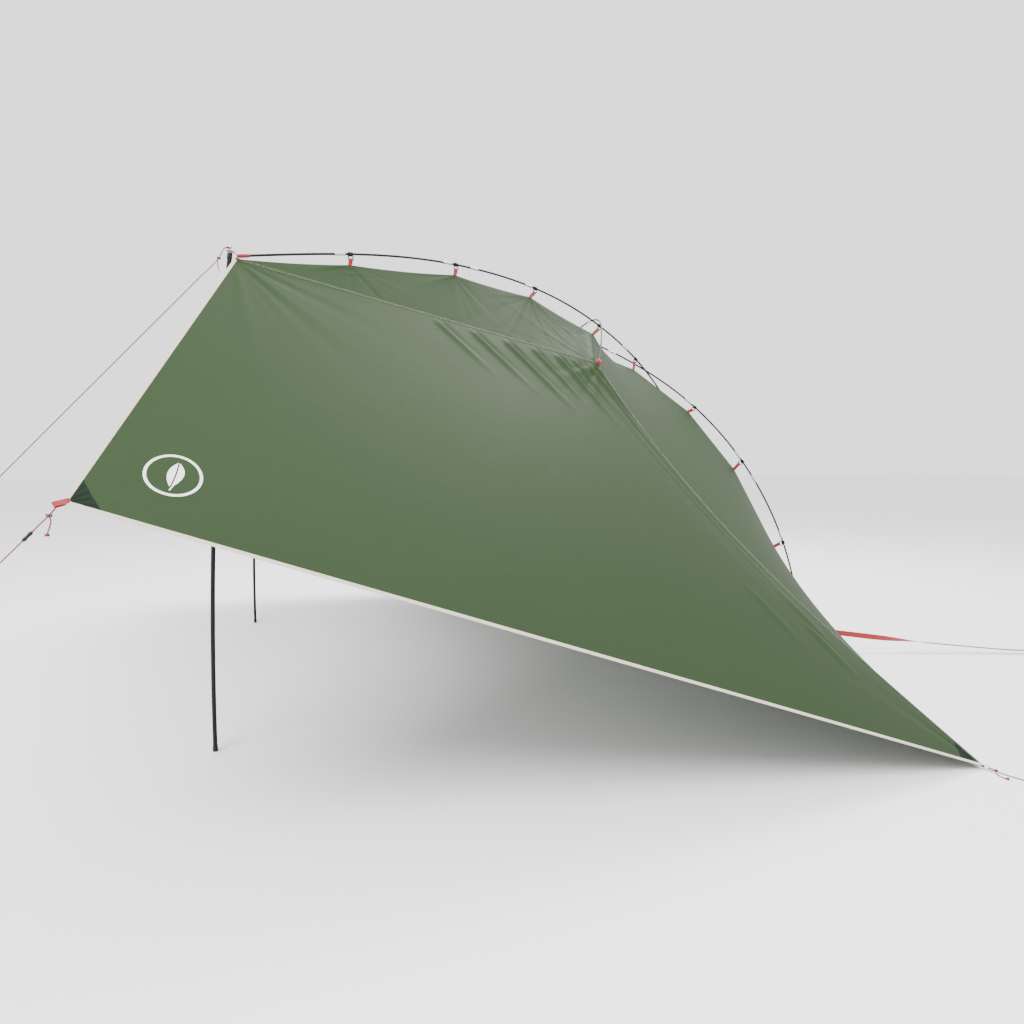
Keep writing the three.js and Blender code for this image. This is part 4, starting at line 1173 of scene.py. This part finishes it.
def canopy_edges():
    """The canopy's seams, ridges and hems on the near side, as lines of points."""
    u = spread(WING_CELLS[0], 0.35)
    v = spread(WING_CELLS[1], -0.30)
    w = np.linspace(0, 1, FLANK_CELLS + 1)
    m = np.linspace(0, 1, MIDDLE_CELLS + 1)
    peak, front, rear, brow = map(from_pole_line, (PEAK, FRONT_CORNER, REAR_CORNER, BROW_CORNER))
    roof_ridge = segments_through([peak, *map(from_pole_line, ROOF_CLIPS)], u, 0.012)
    rear_ridge = segments_through([from_pole_line(p) for p in REAR_CLIPS], v, 0.0)
    rear_ridge[:, 1] = -np.maximum(-rear_ridge[:, 1], 0.03)
    far = np.array([1, -1, 1])
    seam = lerp(brow, rear, v[:, None])
    seam[:, 2] -= SEAM_SAG * np.sin(np.pi * v**0.8)
    hem_rise = np.sin(np.pi * m)[:, None]
    front_hem = lerp(peak, peak * far, m[:, None]) + hem_rise * np.array([HEM_SETBACK, 0, -HEM_SAG])
    top = roof_ridge[-1]
    brow_side = lerp(brow, top, w[:, None]) + np.sin(np.pi * w)[:, None] * np.array([-0.004, -0.008, -0.012])
    brow_middle = lerp(top, top * far, m[:, None]) + hem_rise * np.array([0.03, 0, 0.0])
    leg = rear_ridge[-1]
    return {
        "u": u, "v": v, "peak": peak, "front_corner": front, "rear_corner": rear, "brow": brow,
        "front_edge": lerp(peak, front, v[:, None]),
        "low_edge": lerp(front, rear, u[:, None]),
        "top_seam": lerp(peak, brow, u[:, None]),
        "rear_seam": seam,
        "roof_ridge": roof_ridge,
        "rear_ridge": rear_ridge,
        "front_hem": front_hem,
        "brow_side": brow_side,
        "brow_middle": brow_middle,
        "ground_side": lerp(rear, leg, w[:, None]) * [1, 1, 0] + [0, 0, 0.006],
        "ground_middle": lerp(leg, leg * far, m[:, None]),
        "flank_front": np.broadcast_to(peak, (FLANK_CELLS + 1, 3)),
    }


def base_canopy():
    """The canopy's panels as smooth skins between their edges: wing, flank and middle of the roof, flank and
    middle of the rear. Rows run from the front to the rear, or down the rear."""
    e = canopy_edges()
    far = np.array([1, -1, 1])
    wing = membrane(e["front_edge"], e["rear_seam"], e["top_seam"], e["low_edge"], 0.8)
    flank = membrane(e["flank_front"], e["brow_side"], e["top_seam"], e["roof_ridge"], 0.35)
    middle = membrane(e["front_hem"], e["brow_middle"], e["roof_ridge"], e["roof_ridge"] * far, 0.8)
    rear_flank = membrane(e["brow_side"], e["ground_side"], e["rear_seam"], e["rear_ridge"], 0.7)
    rear_middle = membrane(e["brow_middle"], e["ground_middle"], e["rear_ridge"], e["rear_ridge"] * far, 0.3)
    return e, {"wing": wing, "flank": flank, "middle": middle,
               "rear_flank": rear_flank, "rear_middle": rear_middle}


def ripple(phase, seed, octaves=(1.0, 1.83, 3.1)):
    """Uneven ridges: a sum of sines at unrelated rates, raised so that the ridges are sharper than the troughs."""
    rng = np.random.default_rng(seed)
    total = sum(np.sin(phase * rate + rng.uniform(0, 6.28)) / rate**0.5 for rate in octaves)
    return np.sign(total) * np.abs(total / 2.0) ** 1.25


def fan(points, apex, axis, normal, rays, reach, seed, inner=0.03):
    """Gathers that radiate from a point: ripples over the angle round the apex, which fade with distance."""
    axis = unit(axis)
    side = unit(np.cross(normal, axis))
    away = points - apex
    distance = np.linalg.norm(away, axis=-1)
    angle = np.arctan2(away @ side, away @ axis)
    fade = smooth(distance / inner) * np.exp(-((distance / reach) ** 1.3))
    front = smooth((np.cos(angle) + 0.15) / 0.5)
    return ripple(angle * rays, seed) * fade * front


def fold(points, start, end, normal, width, start_fade=0.12, end_fade=0.5):
    """One soft ridge from a start point towards an end point: exp(-(aside / width)^2) across it, quickly rising and
    slowly dying away along it."""
    ahead = end - start
    reach = np.linalg.norm(ahead)
    across = unit(np.cross(normal, ahead))
    away = points - start
    along = away @ ahead / reach**2
    girth = width * (0.6 + 0.8 * np.clip(along, 0, 1))
    rise = smooth(along / start_fade) * (1 - smooth((along - end_fade) / (1 - end_fade)))
    return np.exp(-((away @ across / girth) ** 2)) * rise


# Folds that leave the top seam: place along it, reach towards the rear corner, height and half width.
SEAM_FOLDS = ((0.46, 0.17, 0.010, 0.022), (0.56, 0.20, 0.011, 0.020), (0.66, 0.24, 0.013, 0.022),
              (0.75, 0.20, 0.012, 0.019), (0.83, 0.25, 0.016, 0.023), (0.895, 0.19, 0.013, 0.018),
              (0.95, 0.30, 0.018, 0.024), (0.99, 0.24, 0.014, 0.018))
# Puckers beside the rear seam: place along it, inset towards the front corner, height.
SEAM_PUCKERS = ((0.62, 0.05, 0.008), (0.70, 0.07, 0.007), (0.66, 0.13, 0.006))


def wing_relief(points, e):
    """Height of the wing's gathers, in metres: fans from its corners, single folds that leave the top seam
    towards the rear corner, and long folds beside the rear seam. Elsewhere the cloth is smooth."""
    normal = unit(np.cross(e["front_corner"] - e["peak"], e["rear_corner"] - e["peak"]))
    brow, rear, peak, front = e["brow"], e["rear_corner"], e["peak"], e["front_corner"]
    out = unit(brow - rear)
    away = points - rear
    aside = np.abs(away @ unit(np.cross(normal, out)))
    along = away @ out / np.linalg.norm(brow - rear)
    beside = np.exp(-((aside / 0.17) ** 2)) * smooth((along - 0.28) / 0.35)
    relief = 0.0095 * ripple(aside * 46 * (1.4 - 0.5 * along), 11, (1.0, 1.7)) * beside
    for share, reach, height, width in SEAM_FOLDS:
        start = lerp(peak, brow, share)
        end = lerp(start, rear, reach)
        relief += height * fold(points, start, end, normal, width)
        relief -= 0.6 * height * fold(points, start + (brow - peak) * 0.022, end, normal, width)
    for share, inset, height in SEAM_PUCKERS:
        start = lerp(brow, rear, share) + (front - rear) * inset + [0, 0, -0.06]
        relief += height * fold(points, start, start + (rear - brow) * 0.16, normal, 0.022, 0.3, 0.5)
    relief += 0.011 * fan(points, brow, rear - brow, normal, 9.0, 0.30, 3, 0.05)
    relief += 0.008 * fan(points, brow, peak - brow + 0.3 * (rear - brow), normal, 8.0, 0.25, 5, 0.06)
    relief += 0.005 * fan(points, peak, brow - peak + 0.5 * (front - peak), normal, 8.0, 0.40, 7, 0.05)
    relief += 0.003 * fan(points, front, rear - front + 0.4 * (peak - front), normal, 9.0, 0.22, 9, 0.12)
    relief += 0.005 * fan(points, rear, brow - rear + 0.5 * (front - rear), normal, 8.0, 0.40, 13, 0.12)
    return relief


def roof_relief(points, e, clips, seed):
    """Height of the gathers that radiate from the clips' straps, the roof's fan of fine folds towards the brow
    pocket, and the fold where the roof turns down at the brow rod."""
    relief = np.zeros(points.shape[:-1])
    upward = np.array([0.3, -0.3, 0.9])
    for k, clip in enumerate(clips):
        clip = from_pole_line(clip)
        relief += 0.0032 * fan(points, clip, np.array([0.2, -0.9, -0.4]), upward, 8.0, 0.20, seed + k, 0.015)
    if len(clips) > 2 and clips[0][0] < 1:
        brow, third = e["brow"], from_pole_line(clips[2])
        relief += 0.0045 * fan(points, third, brow - third, upward, 15.0, 0.45, seed + 20, 0.05)
        relief += 0.0045 * fan(points, brow, third - brow, upward, 12.0, 0.35, seed + 21, 0.05)
        top = from_pole_line(clips[3])
        inset = (third - top) * 0.07
        relief -= 0.010 * fold(points, brow + inset, top + inset, upward, 0.018, 0.1, 0.75)
    return relief


def grid_normals(grid):
    """Unit normals of a grid of points, from the differences along its rows and columns."""
    return unit(np.cross(np.gradient(grid, axis=1), np.gradient(grid, axis=0)))


def grid_flat(grid):
    """Flat coordinates in metres: the mean lengths so far along the two directions."""
    rows = np.concatenate([[0], np.cumsum(np.linalg.norm(np.diff(grid, axis=0), axis=-1).mean(1))])
    columns = np.concatenate([[0], np.cumsum(np.linalg.norm(np.diff(grid, axis=1), axis=-1).mean(0))])
    return np.stack(np.meshgrid(rows, columns, indexing="ij"), axis=2)


def edge_fade(grid, first, last, left, right, reach):
    """1 inside a grid and 0 at the chosen edges, over a number of cells."""
    rows, columns = grid.shape[:2]
    i = np.arange(rows)[:, None]
    j = np.arange(columns)[None, :]
    fade = np.ones((rows, columns))
    for chosen, steps in ((first, i), (last, rows - 1 - i), (left, j), (right, columns - 1 - j)):
        if chosen:
            fade = fade * smooth(steps / reach)
    return fade


def finished_canopy():
    """The panels with their gathers, near side and middle. Relief fades to nothing at the seams they share."""
    e, panels = base_canopy()
    relief = {
        "wing": wing_relief(panels["wing"], e) * edge_fade(panels["wing"], True, True, True, True, 5),
        "flank": roof_relief(panels["flank"], e, ROOF_CLIPS, 30)
        * edge_fade(panels["flank"], True, True, True, True, 4),
        "middle": np.zeros(panels["middle"].shape[:2]),
        "rear_flank": roof_relief(panels["rear_flank"], e, REAR_CLIPS[3:7], 50)
        * edge_fade(panels["rear_flank"], True, True, True, True, 4),
        "rear_middle": np.zeros(panels["rear_middle"].shape[:2]),
    }
    made = {}
    for name, grid in panels.items():
        made[name] = grid + grid_normals(grid) * relief[name][..., None]
    return e, made


canopy = {}


def canopy_panels():
    """The canopy's edges and finished panels, worked out once."""
    if not canopy:
        canopy["edges"], canopy["panels"] = finished_canopy()
    return canopy["edges"], canopy["panels"]


class SHELTER_OT_canopy(bpy.types.Operator):
    """Makes the canopy: one continuous sheet of wings, roof and rear"""

    bl_idname = "shelter.canopy"
    bl_label = "Canopy"

    def execute(self, context):
        _, panels = canopy_panels()
        grids = []
        for name in ("wing", "flank", "rear_flank"):
            grid = panels[name]
            near = (grid, grid_flat(grid))
            if name != "wing":
                near = (grid[:, ::-1], grid_flat(grid)[:, ::-1])
            grids += [near, *other_side([near])]
        for name in ("middle", "rear_middle"):
            grid = panels[name][:, ::-1]
            grids.append((grid, grid_flat(grid)))
        piece = make_piece("canopy", grids, "canopy_fabric", body=None, sharp=60)
        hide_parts("near_wing_panel", "far_wing_panel", "roof_panel", "rear_panel")
        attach(piece, "root")
        return {"FINISHED"}


# ---------------------------------------------------------------- seams, bindings, patches and print

TAPE_THICKNESS = 0.0026
TAPE_OVERHANG = 0.0016
STITCH_INSET = 0.8
STITCH_HEIGHT = 0.00135
STITCH_PITCH = 0.0065
SEAM_WIDTH = 0.016
MARK_CELL = (0.0533, 0.875)
MARK_RADIUS = 0.086


def on_grid(grid, i, j):
    """Points of a grid at fractional rows i and columns j, by two-way linear mixing."""
    rows, columns = grid.shape[:2]
    i = np.clip(i, 0, rows - 1.001)
    j = np.clip(j, 0, columns - 1.001)
    a, b = np.floor(i).astype(int), np.floor(j).astype(int)
    p, q = (i - a)[..., None], (j - b)[..., None]
    return lerp(lerp(grid[a, b], grid[a + 1, b], p), lerp(grid[a, b + 1], grid[a + 1, b + 1], p), q)


def tape(line, inward, normal, width, thickness, overhang):
    """A folded tape over an edge: a thin rounded rectangle carried along the edge, from a little outside it to
    its width inside. Its section lies between the inward direction and the cloth's normal."""
    half = thickness / 2
    outline = np.array([(-overhang, 0), (-overhang * 0.7, -half), (width * 0.5, -half * 1.1),
                        (width * 0.97, -half * 0.9), (width, 0), (width * 0.97, half * 0.9),
                        (width * 0.5, half * 1.1), (-overhang * 0.7, half), (-overhang, 0)])
    ahead = unit(np.gradient(line, axis=0))
    inward = unit(inward - ahead * (inward * ahead).sum(1, keepdims=True))
    if (np.cross(ahead, inward) * normal).sum() < 0:
        outline = outline * [1, -1]
    path = np.concatenate([line[:1], line, line[-1:]])
    side = np.concatenate([inward[:1], inward, inward[-1:]])
    size = np.ones(len(path))
    size[[0, -1]] = 1e-4
    path[0] -= ahead[0] * 1e-4
    path[-1] += ahead[-1] * 1e-4
    grid, flat = carried(path, outline, side, size)
    return grid, flat * [width * 2, 1]


def edge_rows(grid, edge):
    """An edge of a grid as a line, with its inward directions and normals."""
    normals = grid_normals(grid)
    line, inner, normal = {
        "first": (grid[0], grid[1], normals[1]),
        "last": (grid[-1], grid[-2], normals[-2]),
        "left": (grid[:, 0], grid[:, 1], normals[:, 1]),
        "right": (grid[:, -1], grid[:, -2], normals[:, -2]),
    }[edge]
    return line, unit(inner - line), normal


def stitched_row(line, inward, normal, inset, height, pitch, faces=(1, -1)):
    """Rows of stitches at a distance inside an edge, on the chosen faces of its tape."""
    grids = []
    row = line + inward * inset
    for face in faces:
        grids += stitches(row + normal * face * height, normal * face, pitch, 0.0007)
    return grids


def corner_patch(grid, i, j, rows, columns):
    """A doubled patch on a corner of a grid, on both faces: a triangle between the two edges, with pleats that
    open from the corner and a thin turned edge."""
    r = np.linspace(0, 1, 26)[:, None]
    t = np.linspace(0, 1, 45)[None, :]
    step_i = 1 if i == 0 else -1
    step_j = 1 if j == 0 else -1
    at_i = i + step_i * r * rows * t
    at_j = j + step_j * r * columns * (1 - t)
    points = on_grid(grid, at_i, at_j)
    normal = on_grid(grid_normals(grid), at_i, at_j)
    pleat = 0.0016 + 0.0011 * np.cos(2 * np.pi * 5.5 * t) * smooth(r / 0.25) * smooth((1.02 - r) / 0.15)
    inside = np.minimum(t, 1 - t) * r * 0.105
    pleat = pleat * smooth((1.0 - r) / 0.04) * smooth((inside - 0.008) / 0.012)
    flat = np.stack(np.broadcast_arrays(r * 0.13, t * 0.13 * (0.3 + r)), axis=2)
    upper = (points + normal * pleat[..., None], flat)
    lower = (points - normal * pleat[..., None], flat)
    return [(upper[0][:, ::step_i * step_j], upper[1]), (lower[0][:, ::-step_i * step_j], lower[1])]


def printed_mark(grid):
    """The generic printed mark: a plain ring round a two-part leaf, laid on the wing just above the cloth."""
    rows, columns = grid.shape[:2]
    ci, cj = MARK_CELL[0] * (rows - 1), MARK_CELL[1] * (columns - 1)
    per_i = (on_grid(grid, np.array(ci + 2), np.array(cj)) - on_grid(grid, np.array(ci - 2), np.array(cj))) / 4
    per_j = (on_grid(grid, np.array(ci), np.array(cj + 2)) - on_grid(grid, np.array(ci), np.array(cj - 2))) / 4
    normal = unit(np.cross(per_j, per_i))
    right = unit(unit(per_i) - normal * (unit(per_i) @ normal))
    right = unit(right * [1, 1, 0.4])
    upright = unit(np.cross(normal, right))
    upright = upright * np.sign(upright[2])
    basis = np.linalg.pinv(np.stack([per_i, per_j], axis=1))
    normals = grid_normals(grid)

    def laid(a, b):
        move = (a[..., None] * right + b[..., None] * upright) @ basis.T
        at_i, at_j = ci + move[..., 0], cj + move[..., 1]
        flat = np.stack([a, b], axis=-1)
        out = on_grid(normals, at_i, at_j)
        out = out * np.sign((out @ normal))[..., None]
        return on_grid(grid, at_i, at_j) + out * 0.0009, flat

    turn = np.linspace(0, 2 * np.pi, 121)[None, :]
    across = np.linspace(0, 1, 4)[:, None]
    radius = MARK_RADIUS * (1 - 0.11 * across)
    grids = [laid(radius * np.cos(turn), radius * np.sin(turn))]
    t = np.linspace(0, 1, 40)[:, None]
    blade = np.linspace(0, 1, 8)[None, :]
    width = 0.024 * np.sin(np.pi * t**0.85) ** 0.9
    spine = np.linspace(-0.050, 0.056, 40)[:, None]
    for face in (1, -1):
        a = face * (0.0022 + (width - 0.0022).clip(0.0002) * blade) + 0.006 * np.sin(2.2 * t)
        b = spine + 0.010 * blade * np.sin(np.pi * t)
        half = laid(a, b + 0 * a)
        grids.append((half[0][:, ::face], half[1][:, ::face]))
    stem_t = np.linspace(0, 1, 12)[:, None]
    stem = np.linspace(-0.0022, 0.0022, 3)[None, :]
    grids.append(laid(stem + 0.006 * stem_t, -0.064 + 0.020 * stem_t + 0 * stem))
    return grids


def seam_strip(line, inward, normal, width):
    """A felled seam: a doubled strip of cloth over a seam, with a row of stitches near each edge."""
    centred = line - inward * width / 2
    strip = tape(centred, inward, normal, width, 0.0022, 0.0)
    rows = []
    for inset in (width * 0.16, width * 0.84):
        rows += stitched_row(centred, inward, normal, inset, 0.0013, 0.007)
    return strip, rows


class SHELTER_OT_trim(bpy.types.Operator):
    """Makes the wings' bindings, the canopy's seams, the corner patches, the stitching and the printed mark"""

    bl_idname = "shelter.trim"
    bl_label = "Seams and bindings"

    def execute(self, context):
        width = context.scene.shelter_sizes.binding_width
        _, panels = canopy_panels()
        wing, middle = panels["wing"], panels["middle"]
        edges = {"front": edge_rows(wing, "first"), "lower": edge_rows(wing, "right")}
        seams = {"top_seam": edge_rows(wing, "left"), "rear_seam": edge_rows(wing, "last")}
        patches = [*corner_patch(wing, 0, wing.shape[1] - 1, 4.6, 8.0),
                   *corner_patch(wing, wing.shape[0] - 1, wing.shape[1] - 1, 9.0, 6.0)]
        for side, mirror in SIDES:
            turned = other_side if mirror else list
            threads = []
            for name, (line, inward, normal) in edges.items():
                folded = tape(line, inward, normal, width, TAPE_THICKNESS, TAPE_OVERHANG)
                piece = make_piece(f"{side}_{name}_tape", turned([folded]), "edge_tape", recalculate=True)
                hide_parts(f"{side}_{name}_binding")
                threads += stitched_row(line, inward, normal, width * STITCH_INSET, STITCH_HEIGHT, STITCH_PITCH)
            for name, (line, inward, normal) in seams.items():
                strip, rows = seam_strip(line, inward, normal, SEAM_WIDTH)
                make_piece(f"{side}_{name}", turned([strip]), "canopy_fabric", recalculate=True)
                threads += rows
            make_piece(f"{side}_wing_stitches", turned(threads), "thread")
            make_piece(f"{side}_corner_patches", turned(patches), "corner_patch")
        hem = edge_rows(middle, "first")
        make_piece("front_hem_tape", [tape(*hem, width, TAPE_THICKNESS, TAPE_OVERHANG)],
                   "canopy_fabric", recalculate=True)
        threads = stitched_row(*hem, width * STITCH_INSET, STITCH_HEIGHT, STITCH_PITCH)
        make_piece("front_hem_stitches", threads, "thread")
        make_piece("printed_mark", printed_mark(wing), "print_ink")
        return {"FINISHED"}


# ---------------------------------------------------------------- camera, light and floor

CAMERA_PLACE = (-1.205, -4.721, 1.225)
CAMERA_PITCH = -0.0654
CAMERA_YAW = -0.2653
CAMERA_LENS = 26.72
SENSOR = 36.0


class SHELTER_OT_stage(bpy.types.Operator):
    """Makes the camera, the soft studio light and the pale floor"""

    bl_idname = "shelter.stage"
    bl_label = "Stage"

    def execute(self, context):
        lens = bpy.data.cameras.new("camera")
        lens.lens = CAMERA_LENS
        lens.sensor_width = SENSOR
        camera = bpy.data.objects.new("camera", lens)
        camera.location = CAMERA_PLACE
        camera.rotation_euler = (math.pi / 2 + CAMERA_PITCH, 0, CAMERA_YAW)
        context.scene.collection.objects.link(camera)
        context.scene.camera = camera
        lights = (("key", (-4.0, -5.0, 6.5), 4.0, 900.0), ("fill", (6.0, -5.0, 3.5), 4.0, 60.0),
                  ("back", (2.5, 3.0, 7.5), 5.0, 900.0))
        for name, place, size, power in lights:
            light = bpy.data.lights.new(name, "AREA")
            light.size = size
            light.energy = power
            lamp = bpy.data.objects.new(name, light)
            lamp.location = place
            toward = np.array([0.0, 0.0, 1.0]) - place
            lamp.rotation_euler = (math.acos(-toward[2] / np.linalg.norm(toward)), 0,
                                   math.atan2(toward[1], toward[0]) - math.pi / 2)
            context.scene.collection.objects.link(lamp)
        world = bpy.data.worlds.new("studio")
        world.use_nodes = True
        world.node_tree.nodes["Background"].inputs["Color"].default_value = (1, 1, 1, 1)
        world.node_tree.nodes["Background"].inputs["Strength"].default_value = 1.9
        context.scene.world = world
        half = 60.0
        mesh = bpy.data.meshes.new("floor")
        corners = [(-half, -half, 0), (half, -half, 0), (half, half, 0), (-half, half, 0)]
        mesh.from_pydata(corners, [], [(0, 1, 2, 3)])
        floor = bpy.data.objects.new("floor", mesh)
        ground = Finish("floor", (0.93, 0.93, 0.93), 0.9)
        mesh.materials.append(ground.material)
        context.scene.collection.objects.link(floor)
        return {"FINISHED"}


# ---------------------------------------------------------------- registration and the run

OPERATORS = (SHELTER_OT_stage, SHELTER_OT_cords, SHELTER_OT_uprights, SHELTER_OT_arches, SHELTER_OT_brow,
             SHELTER_OT_clips, SHELTER_OT_fittings, SHELTER_OT_canopy, SHELTER_OT_trim)


class SHELTER_PT_panel(bpy.types.Panel):
    """Lists the shelter's sizes, colours and operators"""

    bl_idname = "SHELTER_PT_panel"
    bl_label = "Shelter on poles"
    bl_space_type = "VIEW_3D"
    bl_region_type = "UI"
    bl_category = "Shelter"

    def draw(self, context):
        for group in (context.scene.shelter_sizes, context.scene.shelter_colours):
            for key in group.bl_rna.properties.keys():
                if key not in ("rna_type", "name"):
                    self.layout.prop(group, key)
        for operator in OPERATORS:
            self.layout.operator(operator.bl_idname)


CLASSES = (ShelterSizes, ShelterColours, *OPERATORS, SHELTER_PT_panel)


def register():
    for cls in CLASSES:
        bpy.utils.register_class(cls)
    bpy.types.Scene.shelter_sizes = bpy.props.PointerProperty(type=ShelterSizes)
    bpy.types.Scene.shelter_colours = bpy.props.PointerProperty(type=ShelterColours)


def unregister():
    del bpy.types.Scene.shelter_colours
    del bpy.types.Scene.shelter_sizes
    for cls in reversed(CLASSES):
        bpy.utils.unregister_class(cls)


def main():
    register()
    for operator in OPERATORS:
        space, name = operator.bl_idname.split(".")
        getattr(getattr(bpy.ops, space), name)()


if __name__ == "__main__":
    main()
